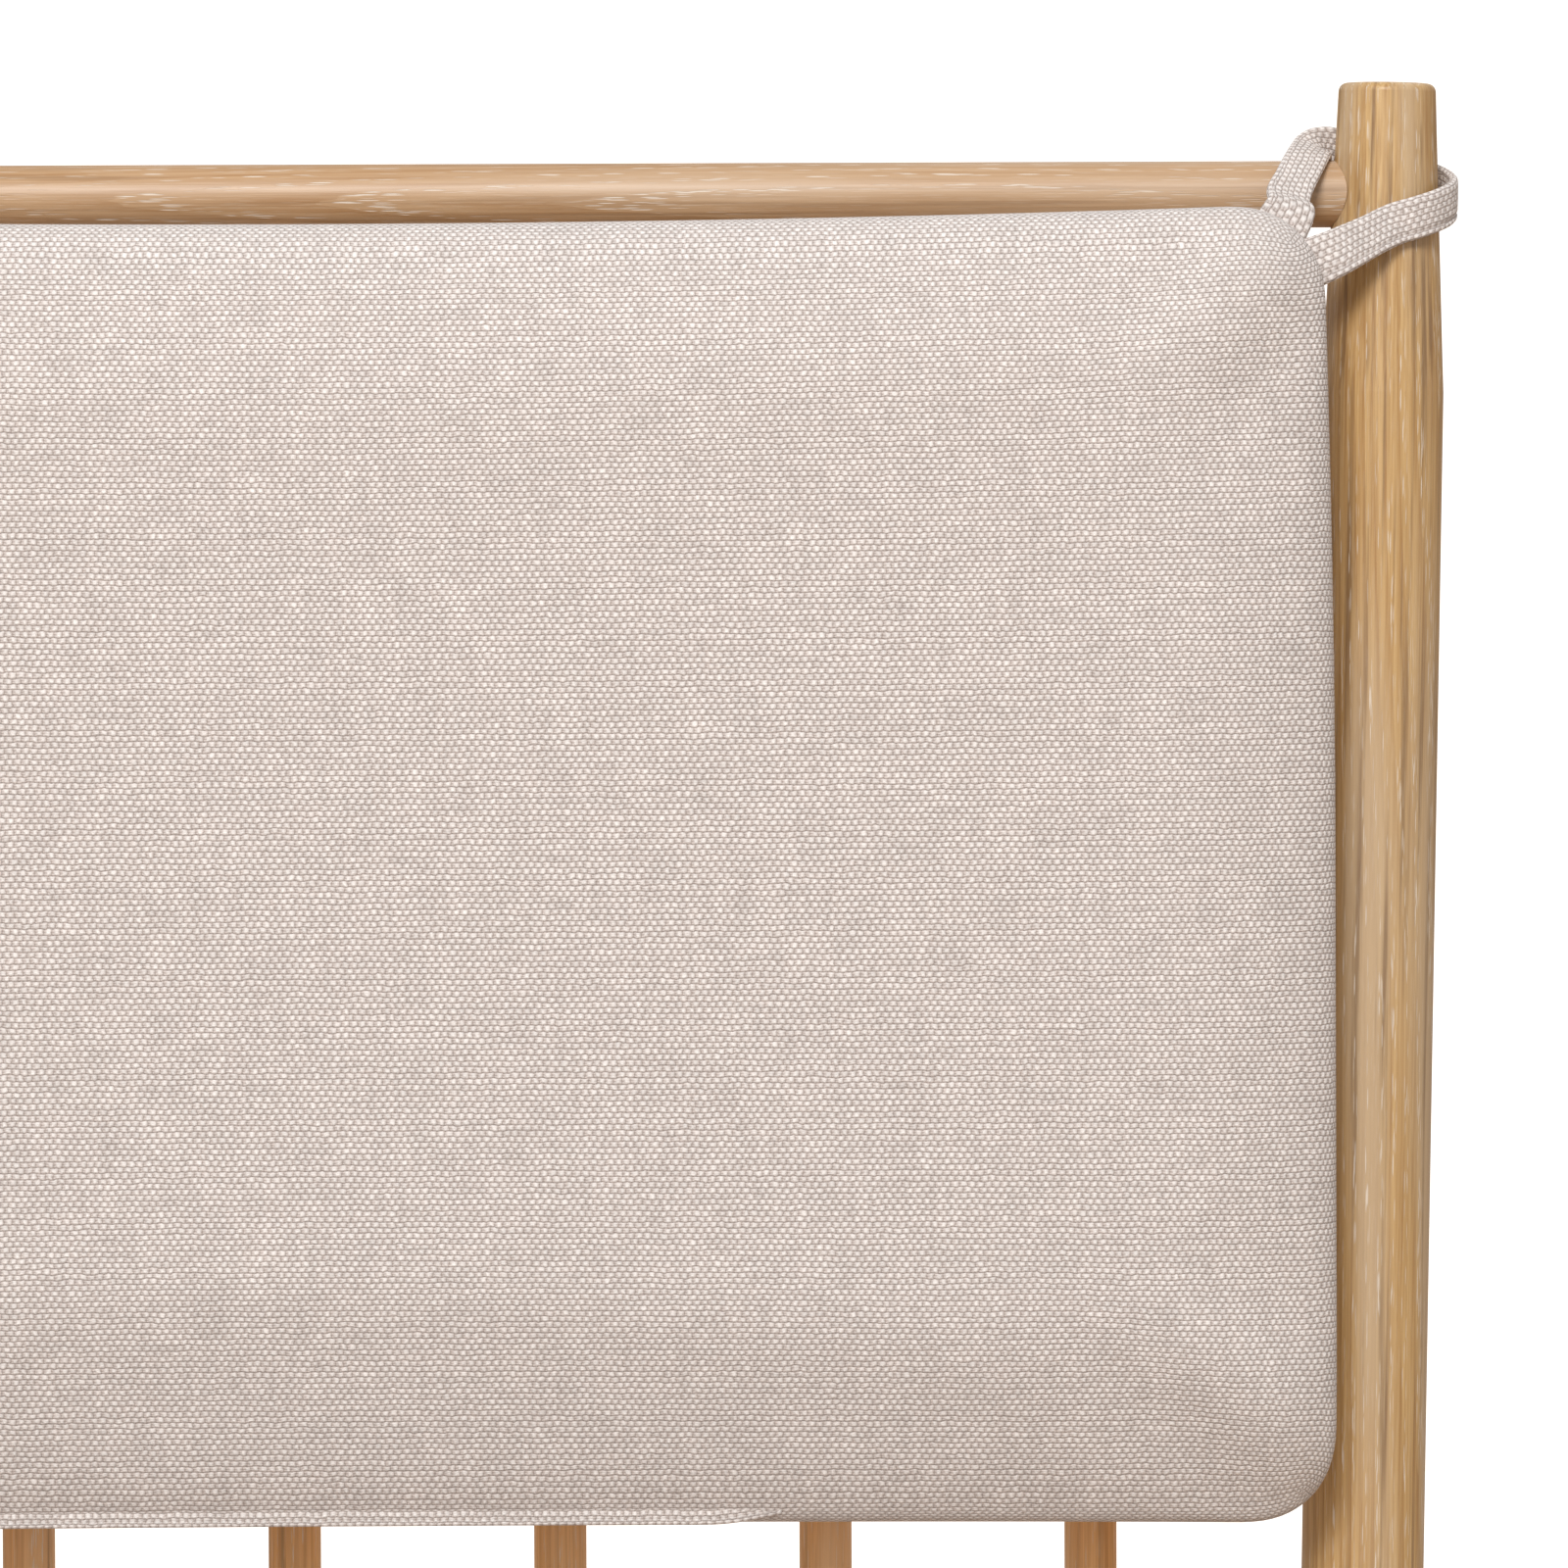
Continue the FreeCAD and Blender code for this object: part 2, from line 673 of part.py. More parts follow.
def flat_rail(label, start, end, up, thick, posts, neighbours=()):
    """A flat rail from one post's axis to another's, coped and tenoned into both.

    Beside a post it is also cut back from the neighbours' stock that it would run into.
    """
    frame = line_frame(start, end, up)
    length = (end - start).Length
    middle = frame * move(y=length / 2)
    stock = block(f"{label}_stock", thick, f"{length}", "Sizes.rail_deep", middle)
    rounded = softened(f"{label}_rounded", stock, "rail_round", ALONG_Y)
    rail_stock.append(rounded)
    coped = cut(f"{label}_coped", rounded, [blank for blank, _ in posts] + list(neighbours))
    reach = length - 2 * (post_radius - size("tenon_depth"))
    tenons = tenon_bar(f"{label}_tenons", f"{reach}", "0", middle)
    slot = tenon_bar(
        f"{label}_mortises", f"{reach} + 2 * Sizes.end_gap", "Sizes.glue_gap", middle
    )
    for _, key in posts:
        cuts_in[key].append(slot)
    return joined(f"{label}_whole", [coped, tenons]), frame, length


post_keys = {
    ("front", side): (front_blanks[i], front_blank[side].Name)
    for i, (_, side) in enumerate(SIDES)
}
post_keys.update(
    {("back", side): (back_blank[side], back_blank[side].Name) for _, side in SIDES}
)

rail_middle = size("rail_drop") + size("rail_deep") / 2
front_middle = size("deck_height") - rail_middle
front_ends = [Vector(side * size("front_spread") / 2, 0, front_middle) for _, side in SIDES]
rear_ends = [seat.multVec(back_post_in(seat, side, -rail_middle)) for _, side in SIDES]
cross_rails = {
    "front": flat_rail(
        "front_seat_rail",
        *front_ends,
        ALONG_Z,
        "Sizes.rail_thick",
        [post_keys["front", side] for _, side in SIDES],
    ),
    "rear": flat_rail(
        "rear_seat_rail",
        *rear_ends,
        back.Rotation.multVec(ALONG_Z),
        "Sizes.rail_thick",
        [post_keys["back", side] for _, side in SIDES],
    ),
}

cross_stock = list(rail_stock)
side_rail = {}
for label, side in SIDES:
    start = seat.multVec(Vector(side * size("front_spread") / 2, 0, -rail_middle))
    end = seat.multVec(back_post_in(seat, side, -rail_middle))
    side_rail[side] = flat_rail(
        f"side_rail_{label}",
        start,
        end,
        seat.Rotation.multVec(ALONG_Z),
        "Sizes.side_rail_thick",
        (post_keys["front", side], post_keys["back", side]),
        cross_stock,
    )

# Each cross rail is drawn tight by a bolt through each post into a barrel nut in the rail.
bolts = []
nuts = []
buttons = []
for end_name, post_place in (("front", "front"), ("rear", "back")):
    whole, frame, length = cross_rails[end_name]
    holes = []
    for label, side in SIDES:
        name = f"{end_name}_{label}"
        # Z runs outwards along the bolt, from the post's axis
        out = frame * move(y=0 if side < 0 else length, turn=Rotation(ALONG_X, -side * 90))
        seat_level = post_radius - size("counterbore")
        bolt = turned(
            f"{name}_bolt_turned",
            (
                ("0", "-Sizes.bolt_length"),
                ("Sizes.bolt_dia / 2", "-Sizes.bolt_length"),
                ("Sizes.bolt_dia / 2", "0"),
                ("Sizes.bolt_head_dia / 2", "0"),
                ("Sizes.bolt_head_dia / 2", "Sizes.bolt_head_deep"),
                ("0", "Sizes.bolt_head_deep"),
            ),
            out * move(z=seat_level),
        )
        socket = doc.addObject("Part::Prism", f"{name}_bolt_socket")
        socket.Polygon = 6
        bind(socket, Circumradius="Sizes.bolt_socket / 2", Height="2 * Sizes.bolt_socket_deep")
        socket_level = seat_level + size("bolt_head_deep") - size("bolt_socket_deep")
        socket.Placement = out * move(z=socket_level)
        bolts.append(cut(f"{name}_bolt", bolt, [socket]))

        shank_bore = rod(
            f"{name}_shank_bore",
            "Sizes.bolt_dia / 2 + Sizes.screw_gap",
            "2 * (Sizes.bolt_length + Sizes.end_gap)",
            out * move(z=seat_level),
        )
        head_bore = rod(
            f"{name}_head_bore",
            "Sizes.button_dia / 2 + Sizes.screw_gap",
            "2 * Sizes.counterbore",
            out * move(z=post_radius),
        )
        nut_level = seat_level - size("bolt_length") + size("nut_inset")
        nut_place = out * move(z=nut_level, turn=X_TO_Z)
        nut = rod(f"{name}_nut_stock", "Sizes.nut_dia / 2", "Sizes.nut_length", nut_place)
        nut_bore = rod(
            f"{name}_nut_bore",
            "Sizes.nut_dia / 2 + Sizes.screw_gap",
            "Sizes.nut_length + 2 * Sizes.screw_gap",
            nut_place,
        )
        nuts.append(cut(f"{name}_nut", nut, [shank_bore]))
        holes += [shank_bore, nut_bore]
        cuts_in[post_keys[post_place, side][1]] += [shank_bore, head_bore]

        button_base = seat_level + size("bolt_head_deep") + size("end_gap") / 2
        button_high = post_radius + size("button_proud") - button_base
        button = turned(
            f"{name}_button",
            (
                ("0", "0"),
                ("Sizes.button_dia / 2", "0"),
                ("Sizes.button_dia / 2", f"{button_high}"),
                ("0", f"{button_high}"),
            ),
            Placement(),
        )
        round_edges(
            button,
            f"{name}_button_round",
            "Sizes.button_round",
            lambda e: e.BoundBox.ZMin > button_high - 0.001 and e.Length > size("button_dia"),
        )
        button.Placement = out * move(z=button_base)
        buttons.append(button)
    finish(cut(f"{end_name}_seat_rail_cut", whole, holes), f"{end_name}_seat_rail")
finish(group("seat_rail_bolts_group", bolts), "seat_rail_bolts")
finish(group("barrel_nuts_group", nuts), "barrel_nuts")
finish(group("cover_buttons_group", buttons), "cover_buttons")


# ---------------------------------------------------------------------------------------------
# the slats, on cleats along the side rails


def screw_outline(grow, over):
    """A countersunk wood screw, head up, its head's face at the origin.

    grow makes it fatter all round and over makes its head taller, for the hole that it sits in.
    """
    shank = f"Sizes.screw_dia / 2 + {grow}"
    head = f"Sizes.screw_head_dia / 2 + {grow}"
    return (
        ("0", f"-Sizes.screw_length - {grow}"),
        (shank, f"-Sizes.screw_length - {grow}"),
        (shank, "-Sizes.screw_head_deep"),
        (head, "0 * Sizes.screw_head_deep"),
        (head, over),
        ("0", over),
    )


def screw_and_hole(name, place):
    screw = turned(name, screw_outline("0", "Sizes.screw_head_rim"), place)
    hole = turned(name + "_hole", screw_outline("Sizes.screw_gap", "Sizes.screw_head_deep"), place)
    return screw, hole


side_length = side_rail[1][2]
slat_count = int(size("slat_count"))
first_slat = size("rail_thick") / 2 + size("slat_margin") + size("slat_wide") / 2
last_slat = back_post_in(seat, 1, -rail_middle).y - first_slat
slat_pitch = (last_slat - first_slat) / (slat_count - 1)
cleat_offset = size("side_rail_thick") / 2 + size("cleat_side") / 2
cleat_level = rail_middle - size("slat_thick") - size("cleat_side") / 2
side_lean = math.asin(
    (size("front_spread") / 2 - back_post_in(seat, 1, -rail_middle).x) / side_length
)


def side_rail_x(y):
    """The side rails' middle, measured from the chair's middle, at a distance along the seat."""
    return size("front_spread") / 2 - y * math.tan(side_lean)


slat_screws = []
slat_holes = {number: [] for number in range(1, slat_count + 1)}
cleat_cuts = {side: [] for _, side in SIDES}
screw_x = cleat_offset / math.cos(side_lean)
for number in range(1, slat_count + 1):
    y = first_slat + (number - 1) * slat_pitch
    for label, side in SIDES:
        x = side * (side_rail_x(y) - screw_x)
        screw, hole = screw_and_hole(
            f"slat_screw_{number}_{label}", seat * move(x, y, -size("screw_sink"))
        )
        slat_screws.append(screw)
        slat_holes[number].append(hole)
        cleat_cuts[side].append(hole)

for number in range(1, slat_count + 1):
    y = first_slat + (number - 1) * slat_pitch
    rear_edge = y + size("slat_wide") / 2
    half = side_rail_x(rear_edge) - size("side_rail_thick") / 2 / math.cos(side_lean)
    stock = block(
        f"seat_slat_{number}_stock",
        f"{2 * half} - 2 * Sizes.slat_end_gap",
        "Sizes.slat_wide",
        "Sizes.slat_thick",
        seat * move(y=y, z=-size("slat_thick") / 2),
    )
    rounded = softened(f"seat_slat_{number}_rounded", stock, "slat_round", ALONG_X)
    finish(cut(f"seat_slat_{number}_cut", rounded, slat_holes[number]), f"seat_slat_{number}")
finish(group("slat_screws_group", slat_screws), "slat_screws")

cleat_screws = []
cleat_ends = 2 * (post_radius + size("cleat_end_gap"))
screw_gaps = (0.5, (slat_count - 1) / 2, slat_count - 1.5)
for label, side in SIDES:
    whole, frame, length = side_rail[side]
    cleat = block(
        f"seat_cleat_{label}_stock",
        "Sizes.cleat_side",
        f"{length - cleat_ends}",
        "Sizes.cleat_side",
        frame * move(-side * cleat_offset, length / 2, cleat_level),
    )
    rail_holes = []
    for gap in screw_gaps:
        y = (first_slat + gap * slat_pitch) / math.cos(side_lean)
        inner_face = cleat_offset + size("cleat_side") / 2 - size("screw_sink")
        place = frame * move(
            -side * inner_face, y, cleat_level, Rotation(ALONG_Y, -side * 90)
        )
        screw, hole = screw_and_hole(f"cleat_screw_{label}_{int(gap * 2)}", place)
        cleat_screws.append(screw)
        rail_holes.append(hole)
    cleat_name = f"seat_cleat_{label}"
    finish(cut(cleat_name + "_cut", cleat, cleat_cuts[side] + rail_holes), cleat_name)
    finish(cut(f"side_rail_{label}_cut", whole, rail_holes), f"side_rail_{label}")
finish(group("cleat_screws_group", cleat_screws), "cleat_screws")


# ---------------------------------------------------------------------------------------------
# the stretchers


def stretcher(name, start, end, tenon_diameter, from_start, from_end):
    """A swelling round bar between two points, stopping short of each by a given distance."""
    frame = line_frame(start, end) * move(turn=Rotation(ALONG_X, -90))
    length = (end - start).Length
    low = from_start
    high = length - from_end
    tip = f"{tenon_diameter} / 2"
    full = "Sizes.stretcher_dia / 2"
    bar = turned(
        name + "_turned",
        (
            ("0", f"{low}"),
            (tip, f"{low}"),
            (tip, f"{low} + Sizes.stretcher_tenon"),
            (full, f"{low} + Sizes.stretcher_tenon + Sizes.stretcher_taper"),
            (full, f"{high} - Sizes.stretcher_tenon - Sizes.stretcher_taper"),
            (tip, f"{high} - Sizes.stretcher_tenon"),
            (tip, f"{high}"),
            ("0", f"{high}"),
        ),
        frame,
    )
    bore = rod(
        name + "_bore",
        f"{tip} + Sizes.glue_gap",
        f"{high - low} + 2 * Sizes.end_gap",
        frame * move(z=(low + high) / 2),
    )
    return bar, bore


rear_level = size("stretcher_rear_height") / math.cos(recline)
short_of_axis = post_radius - size("stretcher_tenon")
side_bars = {}
for label, side in SIDES:
    start = Vector(side * size("front_spread") / 2, 0, size("stretcher_height"))
    end = back_post_point(side, rear_level)
    bar, bore = stretcher(
        f"side_stretcher_{label}",
        start,
        end,
        "Sizes.stretcher_tenon_dia",
        short_of_axis,
        short_of_axis,
    )
    side_bars[side] = (bar, (start + end) / 2)
    cuts_in[post_keys["front", side][1]].append(bore)
    cuts_in[post_keys["back", side][1]].append(bore)
short_of_bar = size("stretcher_dia") / 2 - size("cross_tenon")
cross_bar, cross_bore = stretcher(
    "cross_stretcher",
    side_bars[-1][1],
    side_bars[1][1],
    "Sizes.cross_tenon_dia",
    short_of_bar,
    short_of_bar,
)
for label, side in SIDES:
    finish(
        cut(f"side_stretcher_{label}_cut", side_bars[side][0], [cross_bore]),
        f"side_stretcher_{label}",
    )
finish(cross_bar, "cross_stretcher")


# ---------------------------------------------------------------------------------------------
# the glides, nailed up into the feet


def glide(name, foot):
    """A round glide with its nail, under a foot whose axis meets the floor at the given point."""
    body = turned(
        name + "_turned",
        (
            ("0", "0"),
            ("Sizes.glide_dia / 2", "0"),
            ("Sizes.glide_dia / 2", "Sizes.glide_thick"),
            ("Sizes.nail_dia / 2", "Sizes.glide_thick"),
            ("Sizes.nail_dia / 2", "Sizes.glide_thick + Sizes.nail_length"),
            ("0", "Sizes.glide_thick + Sizes.nail_length"),
        ),
        Placement(),
    )
    round_edges(
        body,
        name + "_round",
        "Sizes.glide_round",
        lambda e: e.BoundBox.ZMax < 0.001 and e.Length > size("glide_dia"),
    )
    body.Placement = move(foot.x, foot.y)
    bore = rod(
        name + "_bore",
        "Sizes.nail_dia / 2 + Sizes.screw_gap",
        "2 * (Sizes.nail_length + Sizes.end_gap)",
        move(foot.x, foot.y, size("glide_thick")),
    )
    return body, bore


foot_level = size("glide_thick") / math.cos(recline)
for label, side in SIDES:
    feet = {
        "front": Vector(side * size("front_spread") / 2, 0, 0),
        "back": back_post_point(side, foot_level),
    }
    for place, foot in feet.items():
        name = f"glide_{place}_{label}"
        body, bore = glide(name, foot)
        finish(body, name)
        cuts_in[post_keys[place, side][1]].append(bore)


# ---------------------------------------------------------------------------------------------
# the posts, now that every joint in them is known

for label, side in SIDES:
    post = back_blank[side]
    finish(cut(f"back_post_{label}_cut", post, cuts_in[post.Name]), f"back_post_{label}")
    post = front_blank[side]
    finish(cut(f"front_post_{label}_cut", post, cuts_in[post.Name]), f"front_post_{label}")


# ---------------------------------------------------------------------------------------------
# the cushions: a cloth cover, the foam in it and the zip in the cover's edge


def cushion(name, wide, high, thick, corner, edge, place, zip_length, zip_y):
    """A cushion lying in its frame's XZ plane; its zip runs along the edge at its lowest Z."""
    wall = "Sizes.cover_wall"
    inset = f"({wall} + Sizes.foam_gap)"
    outer = cushion_block(name + "_outer", wide, high, thick, corner, edge, place)
    pocket = cushion_block(
        name + "_pocket",
        f"({wide}) - 2 * {wall}",
        f"({high}) - 2 * {wall}",
        f"({thick}) - 2 * {wall}",
        f"{corner} - {wall}",
        f"{edge} - {wall}",
        place,
    )
    core = cushion_block(
        name + "_core_block",
        f"({wide}) - 2 * {inset}",
        f"({high}) - 2 * {inset}",
        f"({thick}) - 2 * {inset}",
        f"{corner} - {inset}",
        f"{edge} - {inset}",
        place,
    )
    doc.recompute()
    low_edge = -outer.Tip.Shape.BoundBox.ZLength / 2
    at_zip = place * move(y=zip_y, z=low_edge + size("cover_wall") / 2)
    chain = block(name + "_zip_chain", zip_length, "Sizes.zip_wide", wall, at_zip)
    slot = block(
        name + "_zip_slot",
        f"{zip_length} + 2 * Sizes.foam_gap",
        "Sizes.zip_wide + 2 * Sizes.foam_gap",
        f"3 * {wall}",
        at_zip,
    )
    finish(cut(name + "_cover_cut", outer, [pocket, slot]), name + "_cover")
    finish(core, name + "_core")
    finish(chain, name + "_zip")


back_cushion_level = (
    back_length - size("back_cushion_drop") - size("back_cushion_high") / 2
)
back_cushion_y = -(
    size("crest_dia") / 2 + size("back_cushion_gap") + size("back_cushion_thick") / 2
)
cushion(
    "back_cushion",
    "Sizes.back_cushion_wide",
    "Sizes.back_cushion_high",
    "Sizes.back_cushion_thick",
    "Sizes.back_cushion_corner",
    "Sizes.back_cushion_round",
    back * move(y=back_cushion_y, z=back_cushion_level),
    "Sizes.zip_length",
    0,
)

# The seat cushion's rear stands off the front of the lower back rail, taken along the seat.
rail_front = back.multVec(Vector(0, -size("low_rail_dia") / 2, low_level))
seat_rear = seat.inverse().multVec(rail_front).y - size("seat_cushion_rear_gap")
seat_deep = seat_rear + size("seat_cushion_nose")
seat_middle = Vector(
    0,
    seat_rear - seat_deep / 2,
    size("cushion_rest") + size("seat_cushion_thick") / 2,
)
# lying down, with the edge that holds the zip to the rear
lying = Rotation(ALONG_X, 90)
cushion(
    "seat_cushion",
    "Sizes.seat_cushion_wide",
    f"{seat_deep}",
    "Sizes.seat_cushion_thick",
    "Sizes.seat_cushion_corner",
    "Sizes.seat_cushion_round",
    seat * Placement(seat_middle, lying),
    "Sizes.seat_zip_length",
    0,
)


# ---------------------------------------------------------------------------------------------
# the loops that hang the back cushion


def sewn_end(side, degrees, into):
    """Where a strap meets the back cushion's corner, so far round it from the top."""
    angle = math.radians(degrees)
    corner = size("back_cushion_corner")
    reach = corner + size("strap_seam_gap")
    across = size("back_cushion_wide") / 2 - corner + reach * math.sin(angle)
    level = back_length - size("back_cushion_drop") - corner + reach * math.cos(angle)
    place = back.multVec(Vector(side * across, back_cushion_y + size("strap_seam_set"), level))
    return into.inverse().multVec(place)


def strap_stations(side, into):
    """Middle points of the strap and the way its outer face looks, along its whole length.

    From the outer seam the strap crosses the front of the post, goes round behind it and comes
    back over the crest rail to the inner seam. It lies in a frame on the post's tip with X to
    the outside, Y to the rear and Z up.
    """
    def mirrored(point):
        return Vector(side * point.x, point.y, point.z)

    lowest = size("strap_front_drop") + size("strap_wide") / 2
    widening = (size("post_dia") - size("tip_dia")) / 2 / size("tip_length")
    post_there = size("tip_dia") / 2 + lowest * widening
    radius = post_there + size("strap_slack") + size("strap_thick") / 2

    # round the post, in degrees from its front
    first_angle = 4
    behind_angle = 184
    last_angle = 268
    ring = []
    for step in range(STRAP_STEPS + 1):
        degrees = first_angle + (last_angle - first_angle) * step / STRAP_STEPS
        angle = math.radians(degrees)
        if degrees < behind_angle:
            blend = (degrees - first_angle) / (behind_angle - first_angle)
            ends = size("strap_front_drop"), size("strap_back_drop")
        else:
            blend = (degrees - behind_angle) / (last_angle - behind_angle)
            ends = size("strap_back_drop"), size("strap_inner_drop")
        drop = ends[0] + (ends[1] - ends[0]) * blend
        outward = Vector(math.sin(angle), -math.cos(angle), 0)
        ring.append((outward * radius - ALONG_Z * drop, outward))

    outer_end = mirrored(sewn_end(side, size("strap_outer_seam"), into))
    inner_end = mirrored(sewn_end(side, size("strap_inner_seam"), into))
    facing_front = Vector(0.2, -1, 0.1)
    outer_half_way = (outer_end + ring[0][0]) / 2
    lead = [(outer_end, facing_front), (outer_half_way, facing_front)]

    # over the rail and down to the seam on one bend, turning over on the way
    start = ring[-1][0]
    bend = Vector(start.x, inner_end.y / 2, start.z)
    face_up = Vector(-0.2, 0.7, -0.7)
    tail = []
    for step in range(1, STRAP_TAIL_STEPS + 1):
        share = step / STRAP_TAIL_STEPS
        point = start * (1 - share) ** 2 + bend * 2 * share * (1 - share) + inner_end * share ** 2
        tail.append((point, ring[-1][1] * (1 - share) + face_up * share))
    return lead + ring + tail


def strap(name, side):
    """A flat strap lofted from square-cut sections along its stations."""
    into = back_post_frame(side) * move(z=back_blank[side].Tip.Shape.BoundBox.ZMax)
    half_wide = size("strap_wide") / 2
    half_thick = size("strap_thick") / 2
    stations = strap_stations(side, into)
    sections = []
    for i, (point, face) in enumerate(stations):
        before = stations[max(i - 1, 0)][0]
        after = stations[min(i + 1, len(stations) - 1)][0]
        along = (after - before).normalize()
        outer = (face - along * face.dot(along)).normalize()
        across = outer.cross(along)
        corners = [
            point + across * (a * half_wide) + outer * (b * half_thick)
            for a, b in ((-1, -1), (1, -1), (1, 1), (-1, 1))
        ]
        placed = [Vector(side * corner.x, corner.y, corner.z) for corner in corners]
        sections.append(Part.makePolygon(placed + placed[:1]))
    band = doc.addObject("Part::Feature", name + "_band")
    band.Shape = Part.makeLoft(sections, True, True)
    band.Placement = into
    return finish(band, name)


for label, side in SIDES:
    strap(f"strap_loop_{label}", side)


# ---------------------------------------------------------------------------------------------
# centring, tests and files

doc.recompute()
boxes = [piece.Shape.optimalBoundingBox(True, False) for piece in parts]
rear = max(box.YMax for box in boxes)
front = min(box.YMin for box in boxes)
centring = move(y=-(rear + front) / 2)
for piece in parts:
    piece.Placement = centring * piece.Placement
doc.recompute()

for thing in doc.Objects:
    if "Invalid" in thing.State or "Error" in thing.State:
        raise RuntimeError(f"{thing.Name} failed: {thing.State}")
os.makedirs("parts", exist_ok=True)
for piece in parts:
    shape = piece.Shape
    if shape.isNull() or not shape.isValid() or not shape.Solids:
        raise RuntimeError(f"{piece.Label} has no valid solid")
    shape.exportStep(f"parts/{piece.Label}.step")
    print(f"{piece.Label}: {len(shape.Solids)} solid(s), {shape.Volume / 1000:.1f} cm3")
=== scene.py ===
# %% [markdown]
# # An oak armchair with a hung back cushion
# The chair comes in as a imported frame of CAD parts: posts, rails, spindles, arms, slats and plain
# solids where the soft goods are. This lesson gives the wood its grain, then makes the cushions,
# the cloth loops that hang the back cushion, and the zips and stitches.

# %% Load the frame
import json
import math

import bmesh
import bpy
import numpy as np
from mathutils import Matrix, Vector
from mathutils.bvhtree import BVHTree


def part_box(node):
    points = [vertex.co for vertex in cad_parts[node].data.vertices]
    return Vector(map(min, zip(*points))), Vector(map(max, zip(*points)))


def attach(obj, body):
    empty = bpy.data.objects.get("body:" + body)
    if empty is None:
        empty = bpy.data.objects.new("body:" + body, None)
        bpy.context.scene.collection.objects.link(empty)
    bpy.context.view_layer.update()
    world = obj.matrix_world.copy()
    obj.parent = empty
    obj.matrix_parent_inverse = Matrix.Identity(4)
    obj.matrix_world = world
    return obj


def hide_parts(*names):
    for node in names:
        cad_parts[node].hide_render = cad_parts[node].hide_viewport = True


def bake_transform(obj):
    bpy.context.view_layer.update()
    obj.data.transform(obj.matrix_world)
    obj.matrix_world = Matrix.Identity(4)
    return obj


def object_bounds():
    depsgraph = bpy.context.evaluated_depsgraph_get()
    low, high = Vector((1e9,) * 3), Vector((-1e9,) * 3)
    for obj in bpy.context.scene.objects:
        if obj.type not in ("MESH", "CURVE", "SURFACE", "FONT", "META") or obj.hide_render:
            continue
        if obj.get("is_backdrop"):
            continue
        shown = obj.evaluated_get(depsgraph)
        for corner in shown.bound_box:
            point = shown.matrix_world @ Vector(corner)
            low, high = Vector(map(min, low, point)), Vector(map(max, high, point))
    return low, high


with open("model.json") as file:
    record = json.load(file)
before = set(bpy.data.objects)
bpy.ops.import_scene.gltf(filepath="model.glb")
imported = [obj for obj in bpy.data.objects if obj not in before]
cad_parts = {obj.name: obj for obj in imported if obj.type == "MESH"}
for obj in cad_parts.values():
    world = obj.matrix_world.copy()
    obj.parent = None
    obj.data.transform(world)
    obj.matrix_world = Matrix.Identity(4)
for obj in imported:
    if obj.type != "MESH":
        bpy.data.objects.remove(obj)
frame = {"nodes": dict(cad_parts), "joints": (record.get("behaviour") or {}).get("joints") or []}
nodes = frame["nodes"]
scene = bpy.context.scene
cad_low, cad_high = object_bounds()
print("frame:", len(nodes), "nodes,", [round(v, 3) for v in cad_high - cad_low], "m")

# %% [markdown]
# ## Where things are
# Nothing is measured twice. The lean of the back is the direction in which the cloth loops lift
# off, the pitch of the seat is the line from the first slat to the last, and each post's axis
# runs from the middle of its glide to the middle of its tip.

# %% The back's and the seat's directions, and the posts' axes
MM = 0.001
SIDES = {"left": -1, "right": 1}
ACROSS = Vector((1, 0, 0))
joints = {joint["name"]: joint for joint in frame["joints"]}
back_up = Vector(joints["back_loops_lift"]["axis"]).normalized()
back_rear = Vector((0, back_up.z, -back_up.y))


def linked(name, data):
    """A new object in the scene that shows some data."""
    obj = bpy.data.objects.new(name, data)
    scene.collection.objects.link(obj)
    return obj


def middle(node):
    """The middle of a CAD node's box."""
    low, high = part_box(node)
    return (low + high) / 2


def places_in(mesh):
    """The vertices of a mesh as an array of places in metres."""
    places = np.zeros(len(mesh.vertices) * 3, np.float32)
    mesh.vertices.foreach_get("co", places)
    return places.reshape(-1, 3).astype(float)


def move_points(mesh, places):
    """Set a mesh's vertices to an array of places."""
    mesh.vertices.foreach_set("co", places.astype(np.float32).ravel())


def points_of(node):
    """The places of a CAD node's vertices."""
    return places_in(nodes[node].data)


def post_axis(side):
    """Foot and tip of a back post's axis."""
    foot = middle(f"glide_back_{side}")
    places = points_of(f"back_post_{side}")
    heights = places @ np.array(back_up)
    rim = places[heights > heights.max() - 0.5 * MM]
    return foot, Vector((rim.min(0) + rim.max(0)) / 2)


seat_rear = (middle("seat_slat_8") - middle("seat_slat_1")).normalized()
seat_up = ACROSS.cross(seat_rear)
post_axes = {side: post_axis(side) for side in SIDES}
for side, (foot, tip) in post_axes.items():
    print(side, "post:", [round(v, 4) for v in foot], "to", [round(v, 4) for v in tip])

# %% [markdown]
# ## Camera
# A long lens far away, square to the leaning back and a little above it, looks at the upper right
# part of the back. The camera comes first, so that every later step can be judged from it.

# %% Place the camera
VIEW_WIDTH = 0.448
VIEW_FROM_LEFT = 0.083
VIEW_ABOVE_TIPS = 0.025
CAMERA_DISTANCE = 2.6
CAMERA_ELEVATION = math.radians(14)
CAMERA_X = 0.09

